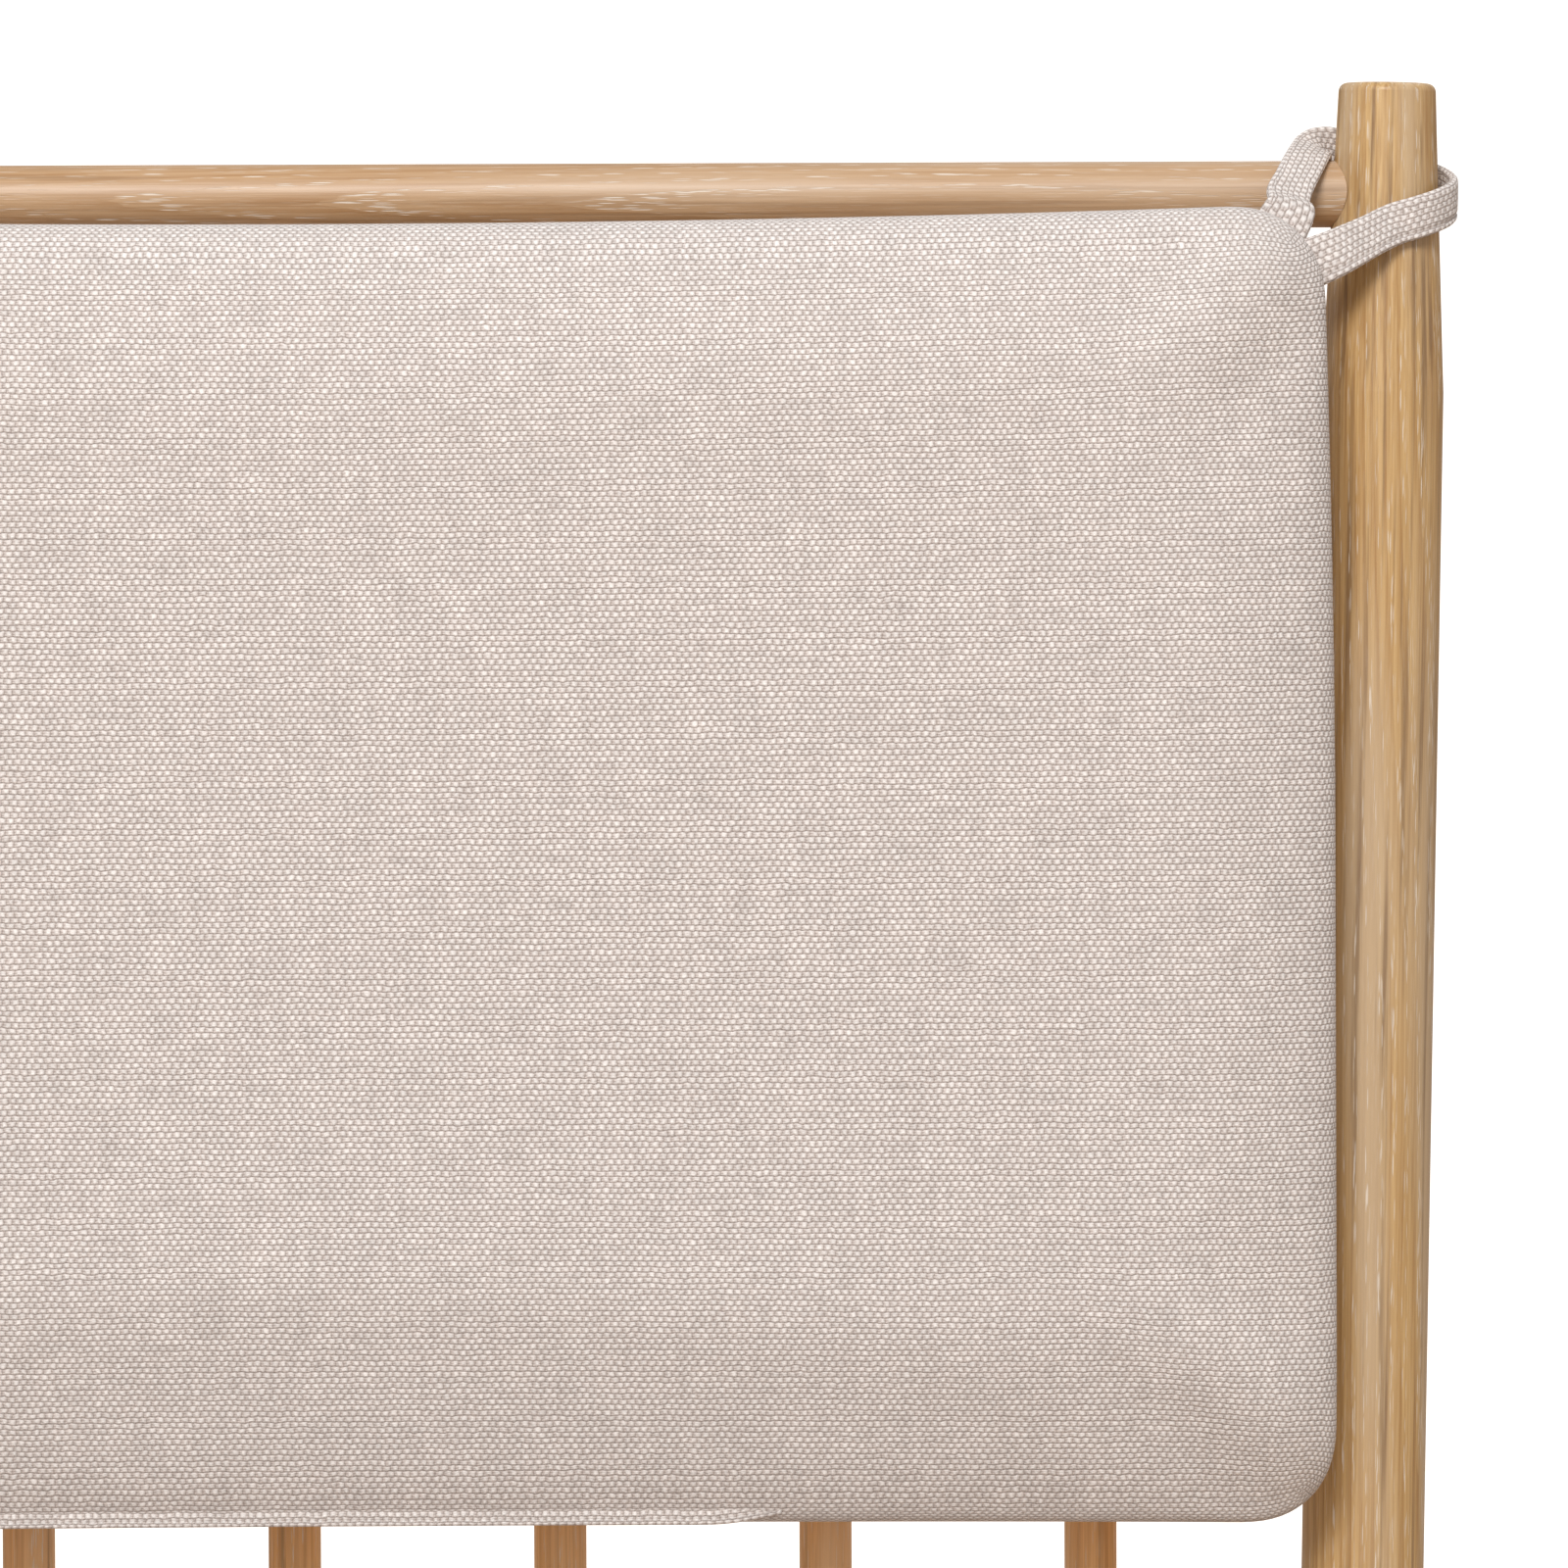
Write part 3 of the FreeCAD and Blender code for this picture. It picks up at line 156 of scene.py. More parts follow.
tip = post_axes["right"][1]
aim = Vector((VIEW_WIDTH / 2 - VIEW_FROM_LEFT, tip.y, tip.z))
aim -= back_up * (VIEW_WIDTH / 2 - VIEW_ABOVE_TIPS)
camera_data = bpy.data.cameras.new("camera")
camera_data.sensor_width = 36
camera_data.lens = camera_data.sensor_width * CAMERA_DISTANCE / VIEW_WIDTH
camera_data.clip_start = 0.05
camera_data.clip_end = 60
camera = linked("camera", camera_data)
camera.location = aim + CAMERA_DISTANCE * Vector(
    (0, -math.cos(CAMERA_ELEVATION), math.sin(CAMERA_ELEVATION))
)
camera.location.x = CAMERA_X
camera.rotation_euler = (aim - camera.location).to_track_quat("-Z", "Y").to_euler()
scene.camera = camera
print("lens", round(camera_data.lens, 1), "mm, camera at", [round(v, 3) for v in camera.location])

# %% [markdown]
# ## Studio
# A wide pale floor and an even sky give the white, nearly shadowless light of a product studio.
# What the camera sees of the sky is a little brighter than the light it gives, so the ground
# stays pure white while the wood and the cloth keep their tones. The floor sends back a little
# warm light, as boards do, and one large soft light above the front gives the weave and the
# turned wood their shape.

# %% Floor, sky and lights
FLOOR_SIZE = 60
SKY_LIGHT = 0.54
scene.view_settings.view_transform = "Standard"
scene.view_settings.look = "None"
bpy.ops.mesh.primitive_plane_add(size=FLOOR_SIZE, location=(0, 0, 0))
floor = bpy.context.object
floor.name = "studio_floor"
floor_material = bpy.data.materials.new("studio_floor_paint")
floor_material.use_nodes = True
floor_shader = floor_material.node_tree.nodes["Principled BSDF"]
floor_shader.inputs["Base Color"].default_value = (0.57, 0.44, 0.34, 1)
floor_shader.inputs["Roughness"].default_value = 0.9
floor_shader.inputs["Emission Color"].default_value = (1, 1, 1, 1)
floor.data.materials.append(floor_material)
floor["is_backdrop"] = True


def brighter_to_camera(tree, socket, lit, seen):
    """Give a strength one value as light and another as seen by the camera."""
    rays = tree.nodes.new("ShaderNodeLightPath")
    strength = tree.nodes.new("ShaderNodeMapRange")
    strength.inputs["To Min"].default_value = lit
    strength.inputs["To Max"].default_value = seen
    tree.links.new(rays.outputs["Is Camera Ray"], strength.inputs["Value"])
    tree.links.new(strength.outputs["Result"], socket)


brighter_to_camera(floor_material.node_tree, floor_shader.inputs["Emission Strength"], 0, 0.95)

world = bpy.data.worlds.new("studio_sky")
scene.world = world
world.use_nodes = True
sky = world.node_tree.nodes["Background"]
sky.inputs["Color"].default_value = (1, 1, 1, 1)
brighter_to_camera(world.node_tree, sky.inputs["Strength"], SKY_LIGHT, 1.1)


def soft_light(name, place, towards, width, power):
    """A square area light that looks at a point."""
    data = bpy.data.lights.new(name, "AREA")
    data.shape = "SQUARE"
    data.size = width
    data.energy = power
    light = linked(name, data)
    light.location = place
    light.rotation_euler = (Vector(towards) - Vector(place)).to_track_quat("-Z", "Y").to_euler()


soft_light("key", (-0.3, -2.0, 3.1), aim, 1.0, 84)
soft_light("rear", (1.2, 1.8, 2.6), aim, 1.0, 7)

# %% [markdown]
# ## Short words for nodes
# Shader and geometry trees read better when a line says what is computed and not how boxes are
# wired. `feed` gives a socket either a number or another socket, and `Sheet` adds nodes to one
# tree and hands back the socket that holds the answer.

# %% Helpers for node trees


def feed(tree, socket, value):
    """Give a socket a number, a colour or the output of another node."""
    if isinstance(value, bpy.types.NodeSocket):
        tree.links.new(value, socket)
    elif value is not None:
        socket.default_value = value


class Sheet:
    """A node tree with one method for each kind of step used in this file."""

    def __init__(self, tree):
        self.tree = tree

    def add(self, kind, inputs=(), **settings):
        node = self.tree.nodes.new(kind)
        for name, value in settings.items():
            setattr(node, name, value)
        for name, value in dict(inputs).items():
            feed(self.tree, node.inputs[name], value)
        return node

    def wired(self, node, values):
        for socket, value in zip(node.inputs, values):
            feed(self.tree, socket, value)
        return node

    def math(self, operation, *values, clamp=False):
        node = self.add("ShaderNodeMath", operation=operation, use_clamp=clamp)
        return self.wired(node, values).outputs[0]

    def give(self, node, label, value):
        feed(self.tree, node.inputs[label], value)

    def plus(self, first, second):
        return self.math("ADD", first, second)

    def minus(self, first, second):
        return self.math("SUBTRACT", first, second)

    def times(self, first, second):
        return self.math("MULTIPLY", first, second)

    def over(self, first, second):
        return self.math("DIVIDE", first, second)

    def vector(self, operation, *values):
        node = self.wired(self.add("ShaderNodeVectorMath", operation=operation), values)
        return node.outputs["Value" if operation == "LENGTH" else "Vector"]

    def stretched(self, place, by):
        return self.vector("MULTIPLY", place, by)

    def parts(self, vector):
        node = self.add("ShaderNodeSeparateXYZ", {"Vector": vector})
        return node.outputs[0], node.outputs[1], node.outputs[2]

    def noise(self, vector, scale=1.0, detail=2.0, output=0):
        inputs = {"Vector": vector, "Scale": scale, "Detail": detail}
        return self.add("ShaderNodeTexNoise", inputs).outputs[output]

    def ramp(self, value, low, high, to_low=0.0, to_high=1.0):
        """A smooth step from one value to another."""
        inputs = {
            "Value": value, "From Min": low, "From Max": high, "To Min": to_low, "To Max": to_high
        }
        node = self.add("ShaderNodeMapRange", inputs, interpolation_type="SMOOTHSTEP")
        return node.outputs["Result"]

    def blend(self, share, first, second):
        """A mix of two colours."""
        node = self.add("ShaderNodeMix", data_type="RGBA")
        for number, value in ((0, share), (6, first), (7, second)):
            feed(self.tree, node.inputs[number], value)
        return node.outputs[2]


def new_group(name, takes, gives):
    """A shader node group with named sockets; returns its sheet, inputs and output node."""
    group = bpy.data.node_groups.new(name, "ShaderNodeTree")
    for label, kind, value in takes:
        socket = group.interface.new_socket(label, in_out="INPUT", socket_type=kind)
        if value is not None:
            socket.default_value = value
    for label, kind in gives:
        group.interface.new_socket(label, in_out="OUTPUT", socket_type=kind)
    sheet = Sheet(group)
    return sheet, sheet.add("NodeGroupInput").outputs, sheet.add("NodeGroupOutput")


def new_material(name, **constants):
    """A material with a Principled shader whose constants sit on its own sockets."""
    material = bpy.data.materials.new(name)
    material.use_nodes = True
    shader = material.node_tree.nodes["Principled BSDF"]
    for label, value in constants.items():
        shader.inputs[label.replace("_", " ")].default_value = value
    return material, Sheet(material.node_tree), shader


def bumped(sheet, shader, height, distance, strength=1.0):
    """Feed a height into the shader's normal."""
    inputs = {"Height": height, "Distance": distance, "Strength": strength}
    bump = sheet.add("ShaderNodeBump", inputs)
    sheet.give(shader, "Normal", bump.outputs["Normal"])


# %% [markdown]
# ## Limed oak
# The wood is oak rubbed with white lime wax: the wide pores of each year's first growth hold the
# wax and show as pale dashes along the grain, between honey and pinkish brown. Painting that on
# would slide from face to face, so the grain is solid: rings about a pith that lies outside the
# piece, warped a little, with pores, fibres and streaks drawn out along the trunk. Every piece
# is cut from its own place in that trunk. In the group's own space the grain runs along Z.

# %% The oak's grain as a node group
FLOAT, COLOR, PLACE = "NodeSocketFloat", "NodeSocketColor", "NodeSocketVector"


def oak_grain():
    """Colour, roughness and height of limed oak."""
    sheet, take, result = new_group(
        "limed oak grain",
        (
            ("Place", PLACE, None),
            ("Pith Away", FLOAT, 0.05),
            ("Ring Width", FLOAT, 0.0026),
            ("Pale", COLOR, (0.6, 0.4, 0.22, 1)),
            ("Deep", COLOR, (0.35, 0.19, 0.08, 1)),
            ("Rosy", COLOR, (0.5, 0.34, 0.24, 1)),
            ("Dark Streaks", FLOAT, 0.5),
            ("Lime", FLOAT, 0.6),
        ),
        (("Color", COLOR), ("Roughness", FLOAT), ("Height", FLOAT)),
    )
    place = take["Place"]
    sway = sheet.noise(sheet.stretched(place, (22, 22, 3.5)), detail=1.5, output=1)
    sway = sheet.stretched(sheet.vector("SUBTRACT", sway, (0.5, 0.5, 0.5)), (0.012, 0.012, 0))
    swayed = sheet.vector("ADD", place, sway)
    x, y, z = sheet.parts(swayed)
    lean = sheet.times(z, 0.018)
    from_pith = sheet.add("ShaderNodeCombineXYZ", {
        "X": sheet.plus(sheet.plus(x, take["Pith Away"]), lean), "Y": y
    }).outputs[0]
    ring = sheet.over(sheet.vector("LENGTH", from_pith), take["Ring Width"])
    ragged = sheet.noise(sheet.stretched(place, (500, 500, 18)), detail=2)
    ring = sheet.plus(ring, sheet.times(ragged, 0.35))
    share = sheet.math("FRACT", ring)
    early = sheet.times(sheet.ramp(share, 0.5, 0.12), sheet.ramp(share, 0.0, 0.06))
    late = sheet.ramp(share, 0.45, 0.98)
    year = sheet.add("ShaderNodeTexWhiteNoise", noise_dimensions="1D")
    sheet.give(year, "W", sheet.math("FLOOR", ring))

    pore_cells = sheet.add("ShaderNodeTexVoronoi", {
        "Vector": sheet.stretched(place, (1900, 1900, 105)), "Scale": 1.0
    })
    pore = sheet.ramp(pore_cells.outputs["Distance"], 0.42, 0.26)
    pore = sheet.times(pore, sheet.plus(sheet.times(early, 0.9), 0.1))
    fibre = sheet.noise(sheet.stretched(place, (1500, 1500, 20)), detail=3)
    broad = sheet.noise(sheet.stretched(place, (60, 60, 4)), detail=1)
    streak = sheet.noise(sheet.stretched(place, (420, 420, 9)), detail=3)
    streak = sheet.ramp(streak, 0.52, 0.74)

    tone = sheet.plus(sheet.times(late, 0.42), sheet.ramp(fibre, 0.3, 0.72, 0, 0.62))
    tone = sheet.math("ADD", tone, sheet.times(year.outputs["Value"], 0.16), clamp=True)
    color = sheet.blend(tone, take["Pale"], take["Deep"])
    color = sheet.blend(sheet.ramp(broad, 0.42, 0.66, 0, 0.75), color, take["Rosy"])
    dark = sheet.times(streak, take["Dark Streaks"])
    color = sheet.blend(dark, color, (0.16, 0.085, 0.04, 1))
    limed = sheet.times(sheet.times(pore, take["Lime"]),
                       sheet.ramp(ragged, 0.35, 0.6, 0.35, 1.0))
    color = sheet.blend(limed, color, (0.86, 0.78, 0.68, 1))
    sheet.give(result, "Color", color)
    rough = sheet.plus(0.4, sheet.times(pore, 0.25))
    sheet.give(result, "Roughness", sheet.plus(rough, sheet.times(fibre, 0.1)))
    low = sheet.times(sheet.math("MAXIMUM", pore, sheet.times(streak, 0.5)), -1.0)
    sheet.give(result, "Height", sheet.plus(low, sheet.times(fibre, 0.5)))
    return sheet.tree


oak = oak_grain()
print(oak.name, "has", len(oak.nodes), "nodes")

# %% [markdown]
# ## Rubbed rims with a painted highlight
# Hands and cloths take the finish off an edge first, and on limed oak the rim of a turned end
# turns paler; the same paler rim also stands in for the highlight that the edges catch, so it is
# partly painted highlight. The Bevel node finds edges on any mesh: where the rounded normal
# differs from the true one, there is an edge within reach. It is a group, because every wooden
# piece wears so.

# %% Paler rims, rubbed and painted highlight, as a node group


def rubbed_and_highlit_edges():
    """How much of an edge is near, from 0 to 1, broken up along its length: the mask of the rubbed
    rims and of their painted highlight.
    """
    sheet, take, result = new_group(
        "rubbed and highlit edges",
        (("Reach", FLOAT, 0.0012), ("Place", PLACE, None)),
        (("Edge", FLOAT),),
    )
    rounded = sheet.add("ShaderNodeBevel", {"Radius": take["Reach"]}, samples=4)
    true = sheet.add("ShaderNodeNewGeometry")
    apart = sheet.vector("SUBTRACT", rounded.outputs[0], true.outputs["Normal"])
    broken = sheet.noise(sheet.stretched(take["Place"], (180, 180, 180)), detail=2)
    edge = sheet.ramp(sheet.vector("LENGTH", apart), 0.12, 0.7)
    edge = sheet.times(edge, sheet.ramp(broken, 0.3, 0.65, 0.3, 1))
    sheet.give(result, "Edge", edge)
    return sheet.tree


edge_rub_and_highlight = rubbed_and_highlit_edges()

# %% [markdown]
# ## One board for each piece
# A Mapping node turns the trunk so that the grain runs along the piece, and shifts it, so no two
# pieces show the same figure. The long direction of a piece is found from its own points.

# %% Give every wooden node its oak
COLUMNS = ("Pale", "Deep", "Rosy", "Dark Streaks", "Lime", "Ring Width")
FINISHES = {
    "post": ((0.62, 0.404, 0.179, 1), (0.401, 0.217, 0.075, 1),
        (0.55, 0.404, 0.255, 1), 0.65, 0.65, 0.0030),
    "rail": ((0.528, 0.335, 0.185, 1), (0.387, 0.209, 0.09, 1),
        (0.537, 0.374, 0.241, 1), 0.30, 0.7, 0.0022),
    "spindle": ((0.936, 0.526, 0.213, 1), (0.628, 0.305, 0.104, 1),
        (0.819, 0.504, 0.259, 1), 0.6, 0.7, 0.0022),
    "board": ((0.596, 0.383, 0.186, 1), (0.416, 0.23, 0.092, 1),
        (0.542, 0.374, 0.229, 1), 0.4, 0.55, 0.0034),
    "slat": ((0.616, 0.415, 0.223, 1), (0.458, 0.282, 0.137, 1),
        (0.563, 0.398, 0.259, 1), 0.3, 0.3, 0.0040),
    "wedge": ((0.3, 0.17, 0.081, 1), (0.17, 0.085, 0.036, 1),
        (0.26, 0.15, 0.081, 1), 0.5, 0.15, 0.0015),
}
WOOD = (
    ("back_post", "post"), ("front_post", "post"), ("crest_rail", "rail"),
    ("lower_back_rail", "rail"), ("back_spindle", "spindle"), ("arm_wedge", "wedge"),
    ("arm_", "board"), ("front_seat_rail", "board"), ("rear_seat_rail", "board"),
    ("side_rail", "board"), ("seat_slat", "slat"), ("seat_cleat", "slat"),
    ("cross_stretcher", "post"), ("side_stretcher", "post"), ("cover_buttons", "post"),
)


def along_grain(node):
    """The turn that takes a piece's long direction to Z, and the middle of the piece."""
    places = points_of(node)
    centre = (places.min(0) + places.max(0)) / 2
    spread = np.cov((places - places.mean(0)).T)
    long_way = Vector(np.linalg.eigh(spread)[1][:, -1])
    if long_way.z + 0.3 * long_way.x + 0.1 * long_way.y < 0:
        long_way.negate()
    return long_way.rotation_difference(Vector((0, 0, 1))).to_matrix(), Vector(centre)


def oak_for(node, finish, number):
    """A material for one wooden piece, cut from its own place in the trunk."""
    material, sheet, shader = new_material(
        f"{node} oak", Coat_Weight=0.12, Coat_Roughness=0.25, Specular_IOR_Level=0.45
    )
    turn, centre = along_grain(node)
    angle = 2.4 * number
    spun = Matrix.Rotation(angle, 3, "Z") @ turn
    shift = Vector((
        0.013 * math.sin(5.1 * number), 0.011 * math.cos(3.7 * number), 0.37 * number
    ))
    place = sheet.add("ShaderNodeMapping", {
        "Vector": sheet.add("ShaderNodeTexCoord").outputs["Object"],
        "Rotation": spun.to_euler(),
        "Location": shift - spun @ centre,
    }).outputs[0]
    grain = sheet.add("ShaderNodeGroup", node_tree=oak)
    sheet.give(grain, "Place", place)
    for label, value in zip(COLUMNS, FINISHES[finish]):
        grain.inputs[label].default_value = value
    edges = sheet.add("ShaderNodeGroup", node_tree=edge_rub_and_highlight)
    sheet.give(edges, "Place", place)
    # paler rims: partly rubbed finish, partly a painted highlight
    rub_and_highlight = sheet.times(edges.outputs["Edge"], 0.45)
    color = sheet.blend(rub_and_highlight, grain.outputs["Color"], FINISHES[finish][0])
    sheet.give(shader, "Base Color", color)
    sheet.give(shader, "Roughness", grain.outputs["Roughness"])
    bumped(sheet, shader, grain.outputs["Height"], 0.12 * MM, 0.7)
    return material


def paint(obj, material):
    """Put one material on an object in place of what it had."""
    obj.data.materials.clear()
    obj.data.materials.append(material)


wooden = 0
for number, node in enumerate(sorted(nodes)):
    finish = next((kind for start, kind in WOOD if node.startswith(start)), None)
    if finish:
        paint(nodes[node], oak_for(node, finish, number))
        wooden += 1
print(wooden, "wooden pieces")

# %% [markdown]
# ## Steel and nylon
# The bolts, barrel nuts and screws are zinc plated steel, cloudy and faintly scratched. The
# glides are black nylon with the fine orange-peel of a moulding and scuffs from the floor.

# %% Small hardware finishes


def steel_finish():
    """Zinc plated steel."""
    material, sheet, shader = new_material("zinc plated steel", Metallic=1.0)
    place = sheet.add("ShaderNodeTexCoord").outputs["Object"]
    cloud = sheet.noise(place, 300, 3)
    scratch = sheet.noise(sheet.stretched(place, (4000, 500, 500)), detail=2)
    color = sheet.blend(cloud, (0.50, 0.50, 0.47, 1), (0.68, 0.68, 0.66, 1))
    sheet.give(shader, "Base Color", color)
    sheet.give(shader, "Roughness", sheet.ramp(scratch, 0.3, 0.7, 0.28, 0.48))
    bumped(sheet, shader, scratch, 0.02 * MM, 0.5)
    return material


def glide_finish():
    """Black moulded nylon."""
    material, sheet, shader = new_material("black glide nylon")
    place = sheet.add("ShaderNodeTexCoord").outputs["Object"]
    peel = sheet.noise(place, 2500, 2)
    scuff = sheet.ramp(sheet.noise(place, 220, 4), 0.56, 0.7)
    color = sheet.blend(scuff, (0.022, 0.021, 0.020, 1), (0.10, 0.095, 0.09, 1))
    sheet.give(shader, "Base Color", color)
    sheet.give(shader, "Roughness", sheet.ramp(scuff, 0, 1, 0.42, 0.7))
    bumped(sheet, shader, peel, 0.05 * MM, 0.5)
    return material


steel, nylon = steel_finish(), glide_finish()
for node in nodes:
    if node in ("seat_rail_bolts", "barrel_nuts", "slat_screws", "cleat_screws"):
        paint(nodes[node], steel)
    elif node.startswith("glide"):
        paint(nodes[node], nylon)

# %% [markdown]
# ## The cloth
# Cushions and loops share one thick cotton and linen cloth. Pale warp threads float over the
# weft in short bumps, each row set half a bump aside, and fine double weft threads and small
# dark gaps show between them. The darkness of the gaps and between the weft threads is painted
# shade, and each bump carries a painted shadow on its lower right side. The pattern lies on the
# cloth's own UV map, in metres, because a weave follows the piece it was cut in. The threads
# wander a little, as spun yarn does.

# %% The weave as a node group
BUMP_PITCH = 2.3 * MM
ROW_PITCH = 1.65 * MM
WEFT_PITCH = 0.825 * MM


def floating_weave():
    """Colour and height of the cloth."""
    sheet, take, result = new_group(
        "floating weave",
        (
            ("Place", PLACE, None),
            ("Thread", COLOR, (0.91, 0.86, 0.825, 1)),
            ("Weft", COLOR, (0.70, 0.62, 0.58, 1)),
            # the colour of the painted shade in the gaps of the weave
            ("Gap Shade", COLOR, (0.27, 0.21, 0.18, 1)),
        ),
        (("Color", COLOR), ("Height", FLOAT)),
    )
    place = take["Place"]
    wander = sheet.noise(place, 190, 2, output=1)
    wander = sheet.vector("SUBTRACT", wander, (0.5, 0.5, 0.5))
    place = sheet.vector("ADD", place, sheet.stretched(wander, (1.2 * MM, 1.0 * MM, 0)))
    slub = sheet.vector("SUBTRACT", sheet.noise(place, 700, 1, output=1), (0.5, 0.5, 0.5))
    place = sheet.vector("ADD", place, sheet.stretched(slub, (0.8 * MM, 0.7 * MM, 0)))
    x, y, _ = sheet.parts(place)
    row = sheet.over(y, ROW_PITCH)
    row_number = sheet.math("FLOOR", row)
    aside = sheet.times(sheet.math("FLOORED_MODULO", row_number, 2.0), 0.5)
    column = sheet.plus(sheet.over(x, BUMP_PITCH), aside)
    across = sheet.minus(sheet.math("FRACT", column), 0.5)
    along = sheet.minus(sheet.math("FRACT", row), 0.5)

    each = sheet.add("ShaderNodeCombineXYZ", {"X": sheet.math("FLOOR", column), "Y": row_number})
    chance = sheet.add("ShaderNodeTexWhiteNoise", {"Vector": each.outputs[0]},
                       noise_dimensions="2D")
    oval = sheet.add("ShaderNodeCombineXYZ", {
        "X": sheet.over(across, 0.40), "Y": sheet.over(along, 0.60)
    }).outputs[0]
    size = sheet.vector("LENGTH", oval)
    bump = sheet.ramp(size, 1.05, 0.25)
    weft = sheet.minus(sheet.math("FRACT", sheet.over(y, WEFT_PITCH)), 0.5)
    weft = sheet.ramp(sheet.math("ABSOLUTE", weft), 0.47, 0.12, 0.50, 1.0)
    hole_depth_and_shade = sheet.times(sheet.ramp(sheet.math("ABSOLUTE", across), 0.34, 0.47),
                      sheet.ramp(sheet.math("ABSOLUTE", along), 0.30, 0.48))
    # painted shadow: a dark crescent on the lower right side of each bump
    lower_right = sheet.ramp(sheet.minus(across, along), -0.35, 0.40)
    painted_bump_shadow = sheet.times(sheet.ramp(size, 0.78, 1.02), sheet.ramp(size, 1.5, 1.1))
    painted_bump_shadow = sheet.times(painted_bump_shadow, lower_right)
    fuzz = sheet.noise(take["Place"], 3800, 2)
    cloudy = sheet.noise(take["Place"], 60, 2)
    long_weft = sheet.noise(sheet.stretched(place, (0.09, 1, 1)), 800, 1)
    long_warp = sheet.noise(sheet.stretched(place, (1, 0.09, 1)), 650, 1)
    slubs = sheet.plus(sheet.ramp(long_weft, 0.25, 0.75, -0.065, 0.055),
                       sheet.ramp(long_warp, 0.25, 0.75, -0.055, 0.045))

    # painted shade: between the weft threads the colour is drawn halfway to the gap shade
    color = sheet.blend(weft, take["Gap Shade"], take["Weft"])
    lift = sheet.times(bump, sheet.ramp(chance.outputs["Value"], 0, 1, 0.72, 1.0))
    color = sheet.blend(lift, color, take["Thread"])
    # painted shadow of each bump, blended towards the gaps' painted shade
    color = sheet.blend(sheet.times(painted_bump_shadow, 0.55), color, take["Gap Shade"])
    # painted shade in the holes between the bumps
    color = sheet.blend(sheet.times(hole_depth_and_shade, 0.8), color, take["Gap Shade"])
    shade = sheet.plus(sheet.ramp(fuzz, 0.2, 0.8, 0.86, 1.06),
                       sheet.ramp(cloudy, 0.3, 0.7, -0.015, 0.02))
    shade = sheet.plus(shade, slubs)
    shaded = sheet.add("ShaderNodeVectorMath", {
        "Vector": color, "Scale": shade
    }, operation="SCALE")
    sheet.give(result, "Color", shaded.outputs["Vector"])
    height = sheet.plus(sheet.times(bump, 0.75), sheet.times(weft, 0.3))
    height = sheet.minus(height, sheet.times(hole_depth_and_shade, 0.35))
    sheet.give(result, "Height", sheet.plus(height, sheet.times(fuzz, 0.25)))
    return sheet.tree


weave = floating_weave()


def cloth_finish(name, turned=False):
    """The woven cloth on a piece's own UV map; turned swaps the warp and the weft."""
    material, sheet, shader = new_material(
        name, Roughness=0.92, Sheen_Weight=0.18, Sheen_Roughness=0.5, Specular_IOR_Level=0.2
    )
    place = sheet.add("ShaderNodeMapping", {
        "Vector": sheet.add("ShaderNodeUVMap", uv_map="cloth").outputs[0],
        "Rotation": (0, 0, math.pi / 2 if turned else 0),
    }).outputs[0]
    cloth = sheet.add("ShaderNodeGroup", node_tree=weave)
    sheet.give(cloth, "Place", place)
    sheet.give(shader, "Base Color", cloth.outputs["Color"])
    bumped(sheet, shader, cloth.outputs["Height"], 0.4 * MM, 0.8)
    return material


cushion_cloth = cloth_finish("cushion cloth")
strap_cloth = cloth_finish("strap cloth", turned=True)
print("weave:", len(weave.nodes), "nodes")

# %% [markdown]
# ## The cushions' cloth before filling
# A loose cushion is a cover of two panels: the front panel wraps round the sides and meets the
# back panel in a seam near the rear edge. A voxel remesh would lose the cloth's own directions,
# so the cover is laid out as a grid instead: a block of small squares whose points are pulled
# onto a rounded block, with the arc length from the middle of each panel as its UV map.

# %% A rounded block of small squares


def mesh_object(name, places, faces, uvs):
    """An object at the origin with smooth faces and a UV map called cloth."""
    mesh = bpy.data.meshes.new(name)
    mesh.from_pydata([tuple(p) for p in places], [], faces)
    layer = mesh.uv_layers.new(name="cloth")
    layer.data.foreach_set("uv", np.asarray(uvs, np.float32).ravel())
    mesh.validate()
    mesh.shade_smooth()
    return linked(name, mesh)


def round_block(box_points, half, corner, edge):
    """Points of a block's faces pulled onto the same block with rounded corners and edges."""
    core = np.array(half) - corner
    flat = box_points[:, :2]
    clear = np.clip(flat, -core[:2], core[:2])
    over = flat - clear
    reach = np.linalg.norm(over, axis=1, keepdims=True)
    limit = corner - edge
    inner = clear + over * np.minimum(1, limit / np.maximum(reach, 1e-9))
    deep = np.clip(box_points[:, 2:], -(half[2] - edge), half[2] - edge)
    skeleton = np.hstack([inner, deep])
    away = box_points - skeleton
    away /= np.maximum(np.linalg.norm(away, axis=1, keepdims=True), 1e-9)
    return skeleton + away * edge


